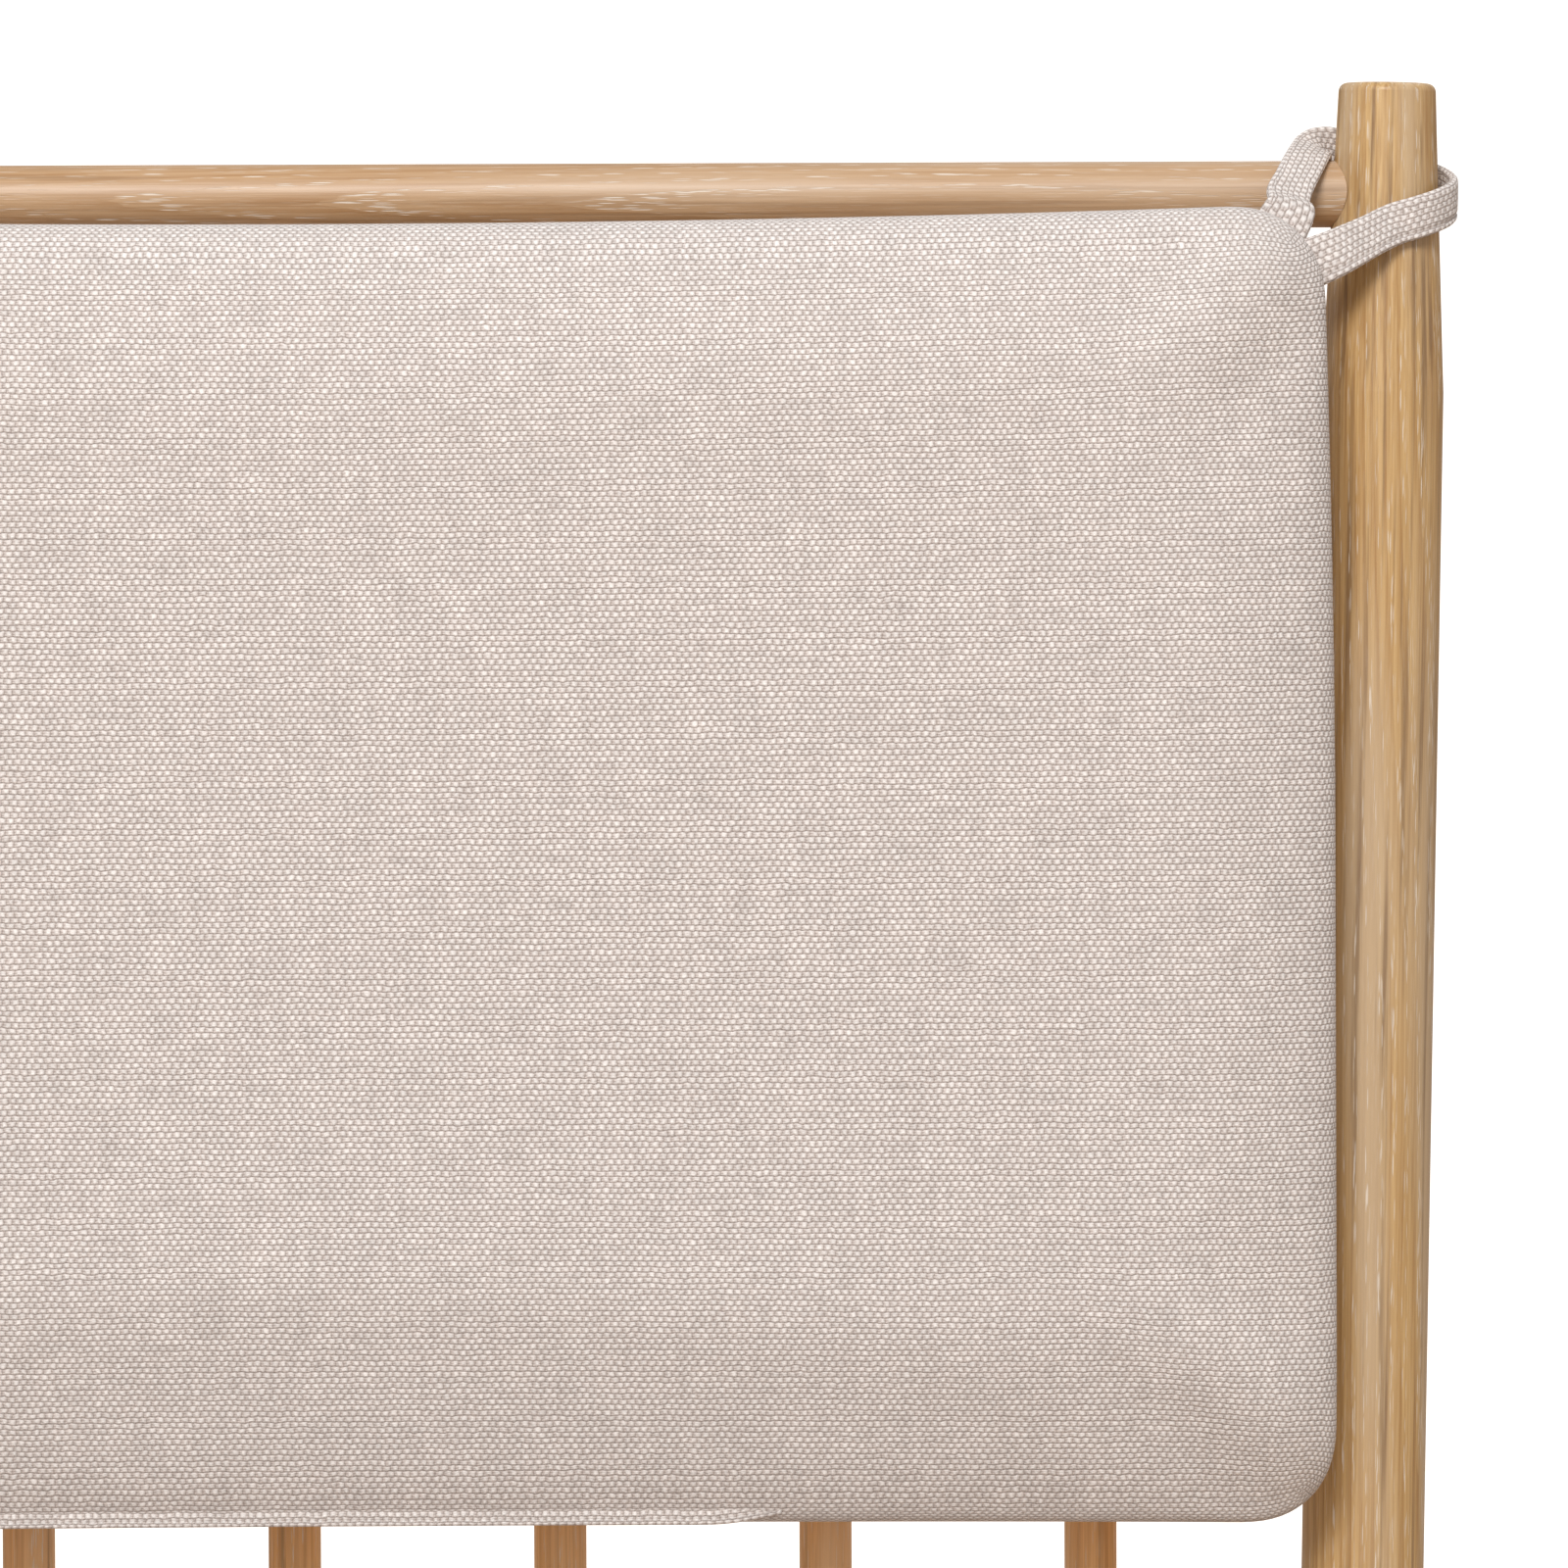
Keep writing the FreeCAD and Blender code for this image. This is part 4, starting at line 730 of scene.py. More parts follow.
def cover_grid(half, corner, edge, cell):
    """Points, faces and cloth coordinates of a cushion's cover, about its own middle."""
    counts = [max(6, round(2 * h / cell)) for h in half]
    index = {}
    for i in range(counts[0] + 1):
        for j in range(counts[1] + 1):
            for k in range(counts[2] + 1):
                if i in (0, counts[0]) or j in (0, counts[1]) or k in (0, counts[2]):
                    index[i, j, k] = len(index)
    steps = np.array(list(index), float)
    box_points = (2 * steps / np.array(counts) - 1) * np.array(half)
    places = round_block(box_points, half, corner, edge)

    def arc(line):
        """Distances along a line of grid points."""
        points = places[[index[key] for key in line]]
        return np.concatenate([[0], np.cumsum(np.linalg.norm(np.diff(points, axis=0), axis=1))])

    mid_i, mid_j = counts[0] // 2, counts[1] // 2
    arc_i = arc([(i, mid_j, counts[2]) for i in range(counts[0] + 1)])
    arc_j = arc([(mid_i, j, counts[2]) for j in range(counts[1] + 1)])
    arc_k = arc([(counts[0], mid_j, k) for k in range(counts[2] + 1)])
    arc_i -= arc_i[-1] / 2
    arc_j -= arc_j[-1] / 2
    down = arc_k[-1] - arc_k
    rear = 1.0
    panels = (
        (0, 1, 2, counts[2], lambda i, j, k: (arc_i[i], arc_j[j])),
        (1, 0, 2, 0, lambda i, j, k: (arc_i[i] + rear, arc_j[j])),
        (1, 2, 0, counts[0], lambda i, j, k: (arc_i[-1] + down[k], arc_j[j])),
        (2, 1, 0, 0, lambda i, j, k: (arc_i[0] - down[k], arc_j[j])),
        (2, 0, 1, counts[1], lambda i, j, k: (arc_i[i], arc_j[-1] + down[k])),
        (0, 2, 1, 0, lambda i, j, k: (arc_i[i], arc_j[0] - down[k])),
    )
    faces, uvs = [], []
    for first, second, fixed, level, spot in panels:
        for a in range(counts[first]):
            for b in range(counts[second]):
                square = []
                for da, db in ((0, 0), (1, 0), (1, 1), (0, 1)):
                    key = [0, 0, 0]
                    key[first], key[second], key[fixed] = a + da, b + db, level
                    square.append(tuple(key))
                faces.append([index[key] for key in square])
                uvs.extend(spot(*key) for key in square)
    return places, faces, uvs, steps / np.array(counts) * 2 - 1


# %% [markdown]
# ## Filling a cushion
# Blender's cloth with a little pressure and no gravity swells the cover as wadding does: panels
# crown, edges soften. The seam's row is pinned, so it stays where the panels are sewn, and no
# point may travel further than the filling could push it. The rear panel stays flat where the
# cushion rests. A subdivision then makes the surface fine enough for the seam's groove.

# %% Fill, cap and finish a cover
FILL_FRAMES = 20
FILL_PRESSURE = 4
EASING_ROUNDS = 7
SEAM_DEEP, SEAM_WIDE = 1.3 * MM, 1.5 * MM


def swell(obj, hold, pressure):
    """The cover's points after the cloth has been filled; hold is how fast each point is kept."""
    group = obj.vertex_groups.new(name="held by the seam")
    for i, weight in enumerate(hold):
        if weight > 0:
            group.add([i], float(weight), "REPLACE")
    cloth = obj.modifiers.new("filling", "CLOTH")
    cloth.settings.use_pressure = True
    cloth.settings.uniform_pressure_force = pressure
    cloth.settings.effector_weights.gravity = 0
    cloth.settings.vertex_group_mass = group.name
    cloth.settings.quality = 5
    cloth.collision_settings.use_collision = False
    cloth.point_cache.frame_start = 1
    cloth.point_cache.frame_end = FILL_FRAMES
    for step in range(1, FILL_FRAMES + 1):
        scene.frame_set(step)
    evaluated = obj.evaluated_get(bpy.context.evaluated_depsgraph_get())
    places = places_in(evaluated.data)
    obj.modifiers.remove(cloth)
    obj.vertex_groups.remove(group)
    scene.frame_set(1)
    return places


def eased(obj, which, rounds):
    """Ease sharp creases out of some of a mesh's points."""
    solid = bmesh.new()
    solid.from_mesh(obj.data)
    solid.verts.ensure_lookup_table()
    chosen = [solid.verts[i] for i in which]
    for _ in range(rounds):
        bmesh.ops.smooth_vert(solid, verts=chosen, factor=0.5, use_axis_x=True,
                              use_axis_y=True, use_axis_z=True)
    solid.to_mesh(obj.data)
    solid.free()


def refined(obj):
    """Subdivide an object's mesh once and leave no modifier."""
    smoother = obj.modifiers.new("finer", "SUBSURF")
    smoother.levels = smoother.render_levels = 1
    smoother.uv_smooth = "NONE"
    depsgraph = bpy.context.evaluated_depsgraph_get()
    mesh = bpy.data.meshes.new_from_object(obj.evaluated_get(depsgraph))
    obj.modifiers.remove(smoother)
    obj.data = mesh


class Pad:
    """The frame that a cushion is sewn in: its middle, directions and half sizes."""

    def __init__(self, node, across, along, out):
        places = points_of(node)
        self.turn = np.array([across, along, out])
        lying = places @ self.turn.T
        self.low, self.high = lying.min(0), lying.max(0)
        self.half = (self.high - self.low) / 2
        self.centre = (self.high + self.low) / 2

    def world(self, local):
        """Places in the frame of the chair from places about the cushion's middle."""
        return (np.atleast_2d(local) + self.centre) @ self.turn

    def local(self, places):
        return np.atleast_2d(places) @ self.turn.T - self.centre


def cushion(name, pad, corner, edge, cell, start, cap, seam, shape, limits):
    """A filled cushion: laid out smaller by start, swelled, capped, and grooved at its seam."""
    half = pad.half - start
    places, faces, uvs, grid = cover_grid(half, corner, edge, cell)
    places = shape(places, grid)
    obj = mesh_object(name, pad.world(places), faces, uvs)
    rim = np.abs(grid[:, :2]).max(1) > 0.999
    hold = np.where(rim, np.interp(grid[:, 2], [-1, -0.55, 0.2, 1], [1.0, 1.0, 0.5, 0.1]), 0)
    moved = pad.local(swell(obj, hold, FILL_PRESSURE)) - places
    far = np.linalg.norm(moved, axis=1, keepdims=True)
    places = places + moved * np.minimum(1, cap / np.maximum(far, 1e-9))
    print(name, "swelled by", round(float(far.max()) / MM, 1), "mm, capped at", cap / MM)
    places = np.clip(places, -limits, limits)
    move_points(obj.data, pad.world(places))
    eased(obj, np.flatnonzero(grid[:, 2] > 0.7), EASING_ROUNDS)
    refined(obj)

    local = pad.local(places_in(obj.data))
    sideways = np.abs(local[:, :2]) - (pad.half[:2] - edge)
    outward = np.maximum(sideways, 0) * np.sign(local[:, :2])
    outward /= np.maximum(np.linalg.norm(outward, axis=1, keepdims=True), 1e-9)
    groove = SEAM_DEEP * np.exp(-((local[:, 2] - seam) / SEAM_WIDE) ** 2)
    groove[np.max(sideways, axis=1) < 0] = 0
    local[:, :2] -= outward * groove[:, None]
    move_points(obj.data, pad.world(local))
    obj.data.shade_smooth()
    return obj


# %% [markdown]
# ## The back cushion
# It hangs from its top corners, so its top edge sags between them and its bottom edge hangs a
# little lower in the middle. The sides lean in towards the straps, and the wadding has drawn back
# from the foot, so the front panel rolls under there. It lies against the crest rail and the
# spindles, so its rear panel is flat.

# %% Make the back cushion
back_pad = Pad("back_cushion_cover", ACROSS, back_up, -back_rear)
seat_pad = Pad("seat_cushion_cover", -ACROSS, -seat_rear, seat_up)
TOP_SAG = 4.8 * MM
BOTTOM_RISE = 1.5 * MM
CORNER_LEAN = 3.6 * MM
FOOT_ROLL, FOOT_ROLL_HIGH = 12 * MM, 44 * MM


def hang(places, grid):
    """The back cushion's outline, pulled by its own weight."""
    a, b = grid[:, 0], grid[:, 1]
    upper = np.clip((b + 1) / 2, 0, 1) ** 3
    lower = np.clip((1 - b) / 2, 0, 1) ** 3
    shaped = places.copy()
    shaped[:, 1] -= TOP_SAG * (1 - a ** 2) * upper - BOTTOM_RISE * (1 - a ** 2) * lower
    above = (places[:, 1] - places[:, 1].min()) / FOOT_ROLL_HIGH
    roll = FOOT_ROLL * np.clip(1 - above, 0, 1) ** 2
    shaped[:, 2] -= roll * np.clip(grid[:, 2], 0, 1)
    shaped[:, 0] -= np.sign(a) * np.abs(a) ** 3 * CORNER_LEAN * np.clip(b, 0, 1) ** 2
    return shaped


back_start = np.array([2.0, 2.0, 3.0]) * MM
back_limits = back_pad.half + np.array([2.5, 2.5, 0.0]) * MM
BACK_SEAM = -back_pad.half[2] + 9 * MM
back_cushion = cushion(
    "back_cushion", back_pad, corner=25 * MM, edge=20 * MM, cell=6 * MM, start=back_start,
    cap=6 * MM, seam=BACK_SEAM, shape=hang, limits=back_limits,
)
paint(back_cushion, cushion_cloth)
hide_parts("back_cushion_cover", "back_cushion_core")
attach(back_cushion, "back_cushion")
print("back cushion:", len(back_cushion.data.polygons), "faces")

# %% [markdown]
# ## The seat cushion
# It is thicker and softer: a crowned block that is flat only underneath, where it rests on the
# slats. It is sewn the same way, with its seam near the lower edge.

# %% Make the seat cushion
SEAT_CROWN = 3 * MM


def rest(places, grid):
    """The seat cushion's crown, higher in the middle."""
    a, b, high = grid[:, 0], grid[:, 1], np.clip(grid[:, 2], 0, 1)
    shaped = places.copy()
    shaped[:, 2] += SEAT_CROWN * (1 - a ** 2) * (1 - b ** 2) * high
    return shaped


seat_start = np.array([2.0, 3.0, 5.0]) * MM
seat_limits = seat_pad.half + np.array([1.5, 2.0, 0.0]) * MM
SEAT_SEAM = -seat_pad.half[2] + 12 * MM
seat_cushion = cushion(
    "seat_cushion", seat_pad, corner=33 * MM, edge=24 * MM, cell=7 * MM, start=seat_start,
    cap=9 * MM, seam=SEAT_SEAM, shape=rest, limits=seat_limits,
)
paint(seat_cushion, cushion_cloth)
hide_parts("seat_cushion_cover", "seat_cushion_core")
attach(seat_cushion, "seat_cushion")
print("seat cushion:", len(seat_cushion.data.polygons), "faces")

# %% [markdown]
# ## Bands of cloth
# Loops, plackets and zip tapes are flat bands. A cloth simulation would only crush them, so each
# is swept along its path: a thin section with soft edges, turned at every station so that its
# outer face looks the way the cloth lies.

# %% Sweep a band along a path


def smooth_path(points, count):
    """A path through every point, with a round turn at each, sampled evenly."""
    points = np.array(points, float)
    padded_ends = np.vstack([2 * points[0] - points[1], points, 2 * points[-1] - points[-2]])
    fine = []
    for i in range(1, len(padded_ends) - 2):
        before, here, there, after = padded_ends[i - 1:i + 3]
        for t in np.linspace(0, 1, 16, endpoint=False):
            fine.append(0.5 * (
                2 * here + (there - before) * t
                + (2 * before - 5 * here + 4 * there - after) * t ** 2
                + (3 * here - before - 3 * there + after) * t ** 3
            ))
    fine = np.array(fine + [points[-1]])
    run = np.concatenate([[0], np.cumsum(np.linalg.norm(np.diff(fine[:, :3], axis=0), axis=1))])
    even = np.linspace(0, run[-1], count)
    return np.stack([np.interp(even, run, fine[:, c]) for c in range(fine.shape[1])], axis=1)


def band_section(wide, thick, hem=None):
    """Outline of a folded band: places across it and out of it, once round."""
    half, round_ = wide / 2, thick / 2
    corners = [(half - round_ + round_ * math.cos(t), round_ * math.sin(t))
               for t in np.linspace(-math.pi / 2, math.pi / 2, 7)]
    top = list(np.linspace(half - round_, -half + round_, 30))[1:-1]
    outline = list(corners)
    for s in top:
        dip = 0
        if hem is not None:
            dip = 0.22 * thick * math.exp(-((s + half - hem) / (0.5 * MM)) ** 2)
        outline.append((s, thick / 2 * (1 + 0.10 * math.cos(math.pi * s / wide)) - dip))
    outline += [(-x, -y) for x, y in corners]
    outline += [(s, -thick / 2) for s in np.linspace(-half + round_, half - round_, 12)[1:-1]]
    return np.array(outline)


def band(name, path, section, widths=None):
    """A closed band; the path holds a place and the way its outer face looks."""
    count, around = len(path), len(section)
    places, rows, faces, uvs = [], [], [], []
    arc = np.concatenate([[0], np.cumsum(np.linalg.norm(np.diff(
        np.vstack([section, section[:1]]), axis=0), axis=1))])
    run = 0.0
    for i in range(count):
        spot = path[i, :3]
        ahead = path[min(i + 1, count - 1), :3] - path[max(i - 1, 0), :3]
        ahead = Vector(ahead).normalized()
        outer = Vector(path[i, 3:6])
        outer = (outer - ahead * outer.dot(ahead)).normalized()
        across = outer.cross(ahead)
        if i:
            run += float(np.linalg.norm(path[i, :3] - path[i - 1, :3]))
        rows.append(run)
        scale = 1 if widths is None else widths[i]
        for s, h in section:
            places.append(Vector(spot) + across * (s * scale) + outer * h)
    for i in range(count - 1):
        for j in range(around):
            k = (j + 1) % around
            here, there = i * around, (i + 1) * around
            faces.append([here + j, here + k, there + k, there + j])
            uvs += [(arc[j], rows[i]), (arc[j + 1], rows[i]),
                    (arc[j + 1], rows[i + 1]), (arc[j], rows[i + 1])]
    for row, order in ((0, -1), (count - 1, 1)):
        ring = [row * around + j for j in range(around)][::order]
        faces.append(ring)
        uvs += [tuple(section[v % around]) for v in ring]
    obj = mesh_object(name, places, faces, uvs)
    solid = bmesh.new()
    solid.from_mesh(obj.data)
    bmesh.ops.recalc_face_normals(solid, faces=solid.faces)
    solid.to_mesh(obj.data)
    solid.free()
    obj.data.shade_smooth()
    return obj


# %% [markdown]
# ## The loops over the post tips
# Each top corner of the back cushion carries one folded strap. From its outer seam it crosses
# the front of the post, goes round it with a little slack, climbs behind it and comes back over
# the crest rail to the inner seam. Its hem runs along the lower edge. Its ends lie at the
# cushion's seams and its middle lies round the post.

# %% Lay and sweep the straps
STRAP_WIDE = 12 * MM
STRAP_THICK = 2.5 * MM
STRAP_RADIUS = 18.4 * MM
STRAP_SLACK = 1.4 * MM
FRONT_DROP, BEHIND_DROP = 40.5 * MM, 18 * MM
FRONT_ANGLE, BEHIND_ANGLE = 4, 228
OUTER_SEAM, INNER_SEAM = 68, 28
# over the crest rail: outside, to the rear and up from the post's tip, with the outer face
OVER_RAIL = (
    ((-17.4, 9.5, -17.9), (-0.85, 0.30, -0.30)),
    ((-19.6, 4.6, -18.4), (-0.60, 0.10, -0.75)),
    ((-21.0, -1.0, -19.2), (-0.30, 0.10, -0.95)),
    ((-22.8, -7.5, -21.6), (-0.25, 0.40, -0.90)),
    ((-25.8, -15.5, -26.6), (-0.30, 0.60, -0.72)),
    ((-29.0, -24.0, -33.0), (-0.32, 0.75, -0.55)),
)
CUSHION_CORNER = 26 * MM
SEAM_SET = 4.7 * MM


def post_tip_frame(side):
    """The post's tip, and the directions outside, to the rear and up the post."""
    foot, tip = post_axes[side]
    up = (tip - foot).normalized()
    return tip, SIDES[side] * back_rear.cross(up), back_rear, up


def sewn_end(side, degrees, reach):
    """A place round the cushion's corner, so many degrees from its top."""
    angle = math.radians(degrees)
    half = back_pad.half
    spot = (
        SIDES[side] * (half[0] - CUSHION_CORNER + reach * math.sin(angle)),
        half[1] - CUSHION_CORNER + reach * math.cos(angle),
        -SEAM_SET,
    )
    return Vector(back_pad.world(spot)[0])


def strap_path(side):
    """Places of the strap's middle line, each with the way its outer face looks."""
    tip, outside, rear, up = post_tip_frame(side)

    def at(x, y, z):
        return tip + outside * x + rear * y + up * z

    def facing(x, y, z):
        return outside * x + rear * y + up * z

    ring = []
    for share in np.linspace(0, 1, 12):
        angle = math.radians(FRONT_ANGLE + (BEHIND_ANGLE - FRONT_ANGLE) * share)
        drop = FRONT_DROP + (BEHIND_DROP - FRONT_DROP) * share
        reach = STRAP_RADIUS + STRAP_SLACK * max(0, math.sin(angle)) ** 2
        x, y = math.sin(angle), -math.cos(angle)
        ring.append((at(x * reach, y * reach, -drop), facing(x, y, 0)))

    front = facing(0.15, -1, 0.1)
    outer_end = sewn_end(side, OUTER_SEAM, CUSHION_CORNER)
    lead = [
        (sewn_end(side, OUTER_SEAM, CUSHION_CORNER - 9 * MM), front),
        (outer_end, front),
        ((outer_end + ring[0][0]) / 2, front),
    ]
    tail = [(at(*(v * MM for v in place)), facing(*face)) for place, face in OVER_RAIL]
    inwards = facing(-0.32, 0.8, -0.5)
    tail += [
        (sewn_end(side, INNER_SEAM, CUSHION_CORNER), inwards),
        (sewn_end(side, INNER_SEAM, CUSHION_CORNER - 9 * MM), inwards),
    ]
    return [tuple(place) + tuple(face) for place, face in lead + ring + tail]


straps = {}
for side in SIDES:
    path = smooth_path(strap_path(side), 110)
    share = np.linspace(0, 1, len(path))
    widening = (1 + 0.22 * np.clip(1 - share / 0.14, 0, 1)
                + 0.35 * np.clip((share - 0.86) / 0.14, 0, 1))
    section = band_section(STRAP_WIDE, STRAP_THICK, hem=2 * MM)
    if SIDES[side] < 0:
        section = section * np.array([-1, 1])
    strap = band(f"strap_{side}", path, section, widening)
    paint(strap, strap_cloth)
    straps[side] = strap
    print(strap.name, len(strap.data.polygons), "faces")

# %% [markdown]
# ## Stitches and zip teeth
# Stitches and the coils of a zip are the same small bead set out again and again along a line.
# One Geometry Nodes tree does both: it walks a path in even steps, sets a bead at each, turned
# along the path and towards a given face, and joins them into one mesh.

# %% Beads along a path


def bead_row():
    """The tree, and the identifier of each of its named inputs."""
    tree = bpy.data.node_groups.new("beads along a path", "GeometryNodeTree")
    tree.interface.new_socket("Geometry", in_out="INPUT", socket_type="NodeSocketGeometry")
    names = {}
    for label, kind in (
        ("Pitch", "NodeSocketFloat"), ("Size", "NodeSocketVector"), ("Facing", "NodeSocketVector"),
        ("Finish", "NodeSocketMaterial"),
    ):
        names[label] = tree.interface.new_socket(label, in_out="INPUT", socket_type=kind).identifier
    tree.interface.new_socket("Geometry", in_out="OUTPUT", socket_type="NodeSocketGeometry")
    sheet = Sheet(tree)
    take = sheet.add("NodeGroupInput").outputs
    line = sheet.add("GeometryNodeMeshToCurve", {"Mesh": take["Geometry"]})
    steps = sheet.add("GeometryNodeCurveToPoints", mode="LENGTH")
    sheet.give(steps, "Curve", line.outputs[0])
    sheet.give(steps, "Length", take["Pitch"])
    ball = sheet.add("GeometryNodeMeshIcoSphere", {"Radius": 0.5, "Subdivisions": 2})
    bead = sheet.add("GeometryNodeTransform", {"Geometry": ball.outputs[0], "Scale": take["Size"]})
    along = sheet.add("FunctionNodeAlignRotationToVector", {
        "Vector": steps.outputs["Tangent"]
    }, axis="X")
    faced = sheet.add("FunctionNodeAlignRotationToVector", {
        "Rotation": along.outputs[0], "Vector": take["Facing"]
    }, axis="Z", pivot_axis="X")
    beads = sheet.add("GeometryNodeInstanceOnPoints", {
        "Points": steps.outputs["Points"], "Instance": bead.outputs[0], "Rotation": faced.outputs[0]
    })
    joined = sheet.add("GeometryNodeRealizeInstances", {"Geometry": beads.outputs[0]})
    painted = sheet.add("GeometryNodeSetMaterial", {
        "Geometry": joined.outputs[0], "Material": take["Finish"]
    })
    feed(tree, sheet.add("NodeGroupOutput").inputs[0], painted.outputs[0])
    return tree, names


bead_tree, bead_inputs = bead_row()


def beads(name, paths, pitch, size, facing, finish):
    """A plain mesh of beads along some lines of places."""
    places, edges = [], []
    for path in paths:
        first = len(places)
        places += [tuple(p) for p in path]
        edges += [(first + i, first + i + 1) for i in range(len(path) - 1)]
    mesh = bpy.data.meshes.new(name)
    mesh.from_pydata(places, edges, [])
    line = linked(name + "_line", mesh)
    modifier = line.modifiers.new("beads", "NODES")
    modifier.node_group = bead_tree
    for label, value in (("Pitch", pitch), ("Size", size), ("Facing", facing), ("Finish", finish)):
        modifier[bead_inputs[label]] = value
    depsgraph = bpy.context.evaluated_depsgraph_get()
    plain = bpy.data.meshes.new_from_object(line.evaluated_get(depsgraph))
    bpy.data.objects.remove(line)
    plain.shade_smooth()
    print(name, len(plain.polygons), "faces")
    return linked(name, plain)


# %% [markdown]
# ## Thread and zip finishes
# The thread is a twisted polyester a shade paler than the cloth. The zip's coil and slider are
# moulded in a warm grey nylon.

# %% Thread and zip finishes


def finely_mottled(name, scale, colors, relief, strength, rough=None, **constants):
    """A finish that varies finely between two colours, with a relief to match."""
    material, sheet, shader = new_material(name, **constants)
    mottle = sheet.noise(sheet.add("ShaderNodeTexCoord").outputs["Object"], scale, 2)
    sheet.give(shader, "Base Color", sheet.blend(mottle, *colors))
    if rough:
        sheet.give(shader, "Roughness", sheet.ramp(mottle, 0.3, 0.7, *rough))
    bumped(sheet, shader, mottle, relief, strength)
    return material


thread = finely_mottled(
    "sewing thread", 5000, ((0.56, 0.49, 0.43, 1), (0.82, 0.77, 0.71, 1)), 0.08 * MM, 0.6,
    Roughness=0.6, Sheen_Weight=0.2,
)
zip_nylon = finely_mottled(
    "zip nylon", 1500, ((0.36, 0.31, 0.26, 1), (0.50, 0.44, 0.38, 1)), 0.03 * MM, 0.5,
    rough=(0.32, 0.5),
)

# %% [markdown]
# ## Seams, hems and zips
# Each line is found on the finished cloth: a ray from outside the cushion meets it where the
# stitch goes in. The zip lies in the edge that hides it, under a placket on the back cushion.

# %% Stitch the seams


def surface_of(obj):
    """A tree to cast rays on an object at the origin."""
    mesh = obj.data
    places = [v.co.copy() for v in mesh.vertices]
    return BVHTree.FromPolygons(places, [tuple(p.vertices) for p in mesh.polygons])


def seam_line(pad, surface, level, corner):
    """Places on a cushion's sides at one level, once round."""
    half = pad.half[:2] + 8 * MM
    radius = corner + 8 * MM
    line = []
    core = half - radius
    turns = ((1, 1), (-1, 1), (-1, -1), (1, -1))
    around = []
    for quarter, (sx, sy) in enumerate(turns):
        for t in np.linspace(0, math.pi / 2, 14):
            angle = quarter * math.pi / 2 + t
            around.append((sx * core[0] + radius * math.cos(angle),
                           sy * core[1] + radius * math.sin(angle)))
    around.append(around[0])
    around = np.array(around)
    run = np.concatenate([[0], np.cumsum(np.linalg.norm(np.diff(around, axis=0), axis=1))])
    for s in np.arange(0, run[-1], 4 * MM):
        spot = np.array([np.interp(s, run, around[:, 0]), np.interp(s, run, around[:, 1])])
        inner = np.clip(spot, -core + 6 * MM, core - 6 * MM)
        start = Vector(pad.world((spot[0], spot[1], level))[0])
        towards = Vector(pad.world((inner[0], inner[1], level))[0]) - start
        hit = surface.ray_cast(start, towards.normalized())[0]
        if hit is not None:
            line.append(hit)
    line.append(line[0])
    return line


back_surface, seat_surface = surface_of(back_cushion), surface_of(seat_cushion)
STITCH = (2.3 * MM, 0.55 * MM, 0.5 * MM)
STITCH_PITCH = 3.2 * MM
STITCH_LEVEL = 3 * MM
for name, pad, surface, seam, corner in (
    ("back_cushion", back_pad, back_surface, BACK_SEAM, CUSHION_CORNER),
    ("seat_cushion", seat_pad, seat_surface, SEAT_SEAM, 34 * MM),
):
    line = seam_line(pad, surface, seam + STITCH_LEVEL, corner)
    row = beads(f"{name}_stitches", [line], STITCH_PITCH, STITCH, (0, 0, 1), thread)
    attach(row, name)

# %% [markdown]
# ## Zips and the placket
# A coil zip lies along the edge that shows least: the bottom of the back cushion and the rear of
# the seat cushion. It is a woven tape with two rows of coils and a slider with its pull. On the
# back cushion a narrow placket, sewn in front of the zip, hangs over it and hides it.

# %% Lay the zips
TAPE_WIDE = 9 * MM
COIL = (1.15 * MM, 2.0 * MM, 1.2 * MM)
COIL_PITCH = 1.6 * MM
ZIP_DEEP = -7 * MM


def zip_edge(pad, surface, length, deep):
    """Places along the edge of a cushion that holds its zip."""
    inwards = Vector(pad.turn[1])
    line = []
    for x in np.linspace(-length / 2, length / 2, 70):
        start = Vector(pad.world((x, -pad.half[1] - 20 * MM, deep))[0])
        line.append(surface.ray_cast(start, inwards)[0])
    return [place for place in line if place is not None], inwards


def moulded_block(name, pad, centre, size, soft):
    """A block with soft edges, set in a cushion's frame."""
    solid = bmesh.new()
    bmesh.ops.create_cube(solid, size=1)
    for vert in solid.verts:
        vert.co = Vector(v * s for v, s in zip(vert.co, size))
    bmesh.ops.bevel(solid, geom=solid.edges[:], offset=soft, segments=3, profile=0.5,
                    affect="EDGES")
    for vert in solid.verts:
        vert.co = Vector(pad.world(np.array(vert.co) + centre)[0])
    bmesh.ops.recalc_face_normals(solid, faces=solid.faces)
    mesh = bpy.data.meshes.new(name)
    solid.to_mesh(mesh)
    solid.free()
    mesh.shade_smooth()
    return linked(name, mesh)


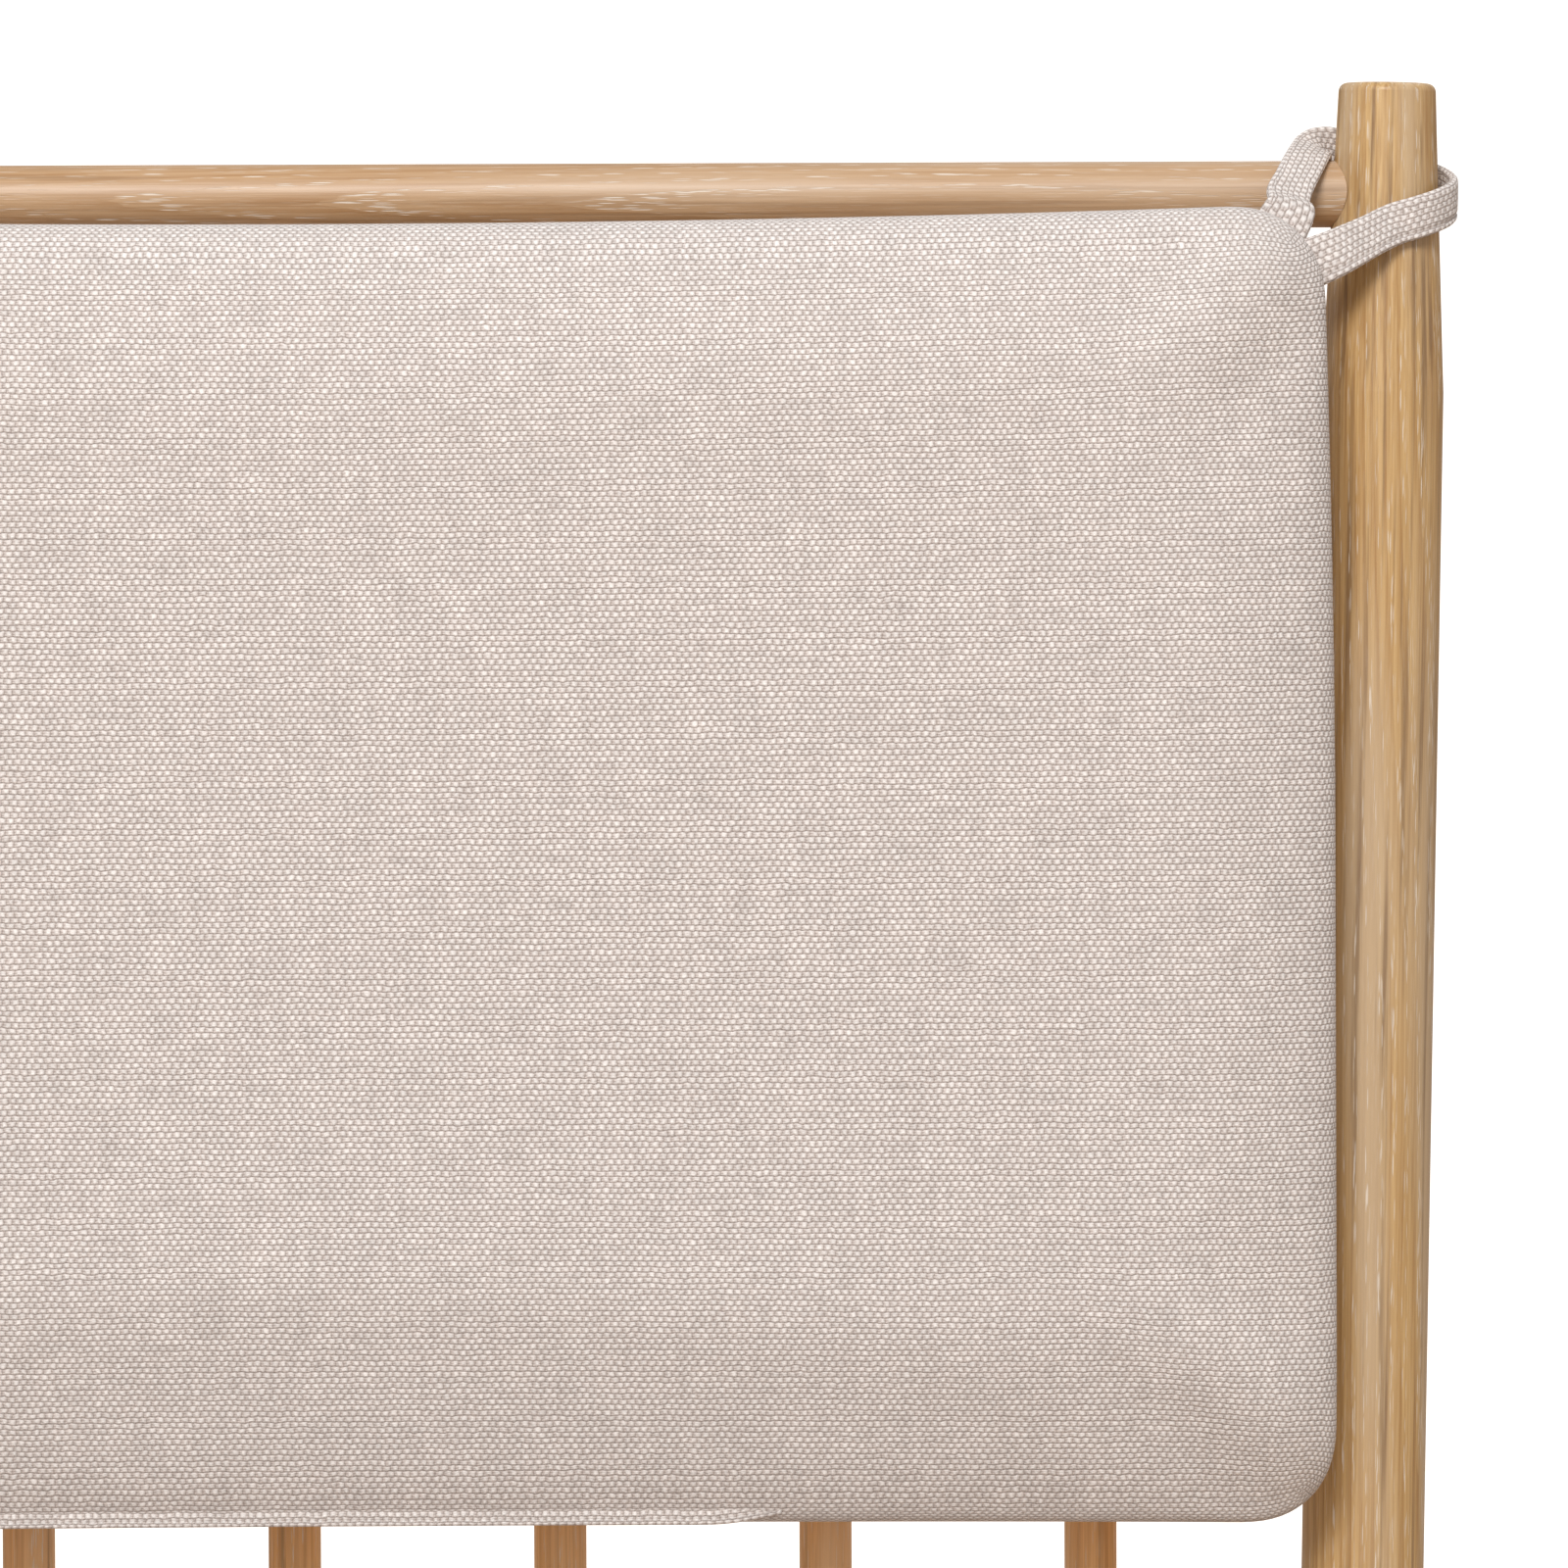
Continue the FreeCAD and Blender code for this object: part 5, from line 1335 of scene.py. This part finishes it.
for name, pad, surface in (
    ("back_cushion", back_pad, back_surface),
    ("seat_cushion", seat_pad, seat_surface),
):
    low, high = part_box(f"{name}_zip")
    length = high.x - low.x
    line, inwards = zip_edge(pad, surface, length, ZIP_DEEP)
    path = np.array([tuple(place - inwards * 0.1 * MM) + tuple(-inwards) for place in line])
    tape = band(f"{name}_zip_tape", smooth_path(path, 90), band_section(TAPE_WIDE, 0.8 * MM))
    paint(tape, zip_nylon)
    out = Vector(pad.turn[2])
    rows = [[place - inwards * 0.7 * MM + out * side * 0.85 * MM for place in line]
            for side in (-1, 1)]
    coils = beads(f"{name}_zip_coils", rows, COIL_PITCH, COIL, -inwards, zip_nylon)
    at_end = pad.local(np.array(line[4]))[0]
    slider = moulded_block(f"{name}_zip_slider", pad, at_end + np.array((0, -1.6, 0)) * MM,
                           (9 * MM, 3.2 * MM, 6.5 * MM), 1 * MM)
    pull = moulded_block(f"{name}_zip_pull", pad, at_end + np.array((9, -2.6, 0)) * MM,
                         (16 * MM, 1.2 * MM, 3.4 * MM), 0.5 * MM)
    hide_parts(f"{name}_zip")
    for piece in (slider, pull):
        paint(piece, zip_nylon)
    for piece in (tape, coils, slider, pull):
        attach(piece, name)

# %% Sew in the placket
PLACKET_WIDE = 17 * MM
PLACKET_HANG = 2.9 * MM
PLACKET_DEEP = 5 * MM
PLACKET_LENGTH = 274 * MM
PLACKET_RUN_IN = 20 * MM
line, inwards = zip_edge(back_pad, back_surface, PLACKET_LENGTH, PLACKET_DEEP)
path = []
for place in line:
    from_end = (PLACKET_LENGTH / 2 - abs(place.x)) / PLACKET_RUN_IN
    hang_here = PLACKET_HANG * math.sin(min(1, max(0, from_end)) * math.pi / 2)
    path.append(tuple(place + inwards * (PLACKET_WIDE / 2 - hang_here)) + tuple(back_pad.turn[2]))
placket = band("back_cushion_placket", smooth_path(path, 90),
               band_section(PLACKET_WIDE, 2 * MM, hem=1.6 * MM))
paint(placket, strap_cloth)
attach(placket, "back_cushion")

# %% Print how much the chair has grown, and finish the straps
now_low, now_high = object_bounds()
growth = (now_high - now_low) - (cad_high - cad_low)
print("grown by", [round(v / MM, 1) for v in growth], "mm")

# hide each CAD loop that a swept strap replaces, and keep the strap's places in its mesh
for side, strap in straps.items():
    tip, outside, rear, up = post_tip_frame(side)
    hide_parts(f"strap_loop_{side}")
    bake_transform(strap)
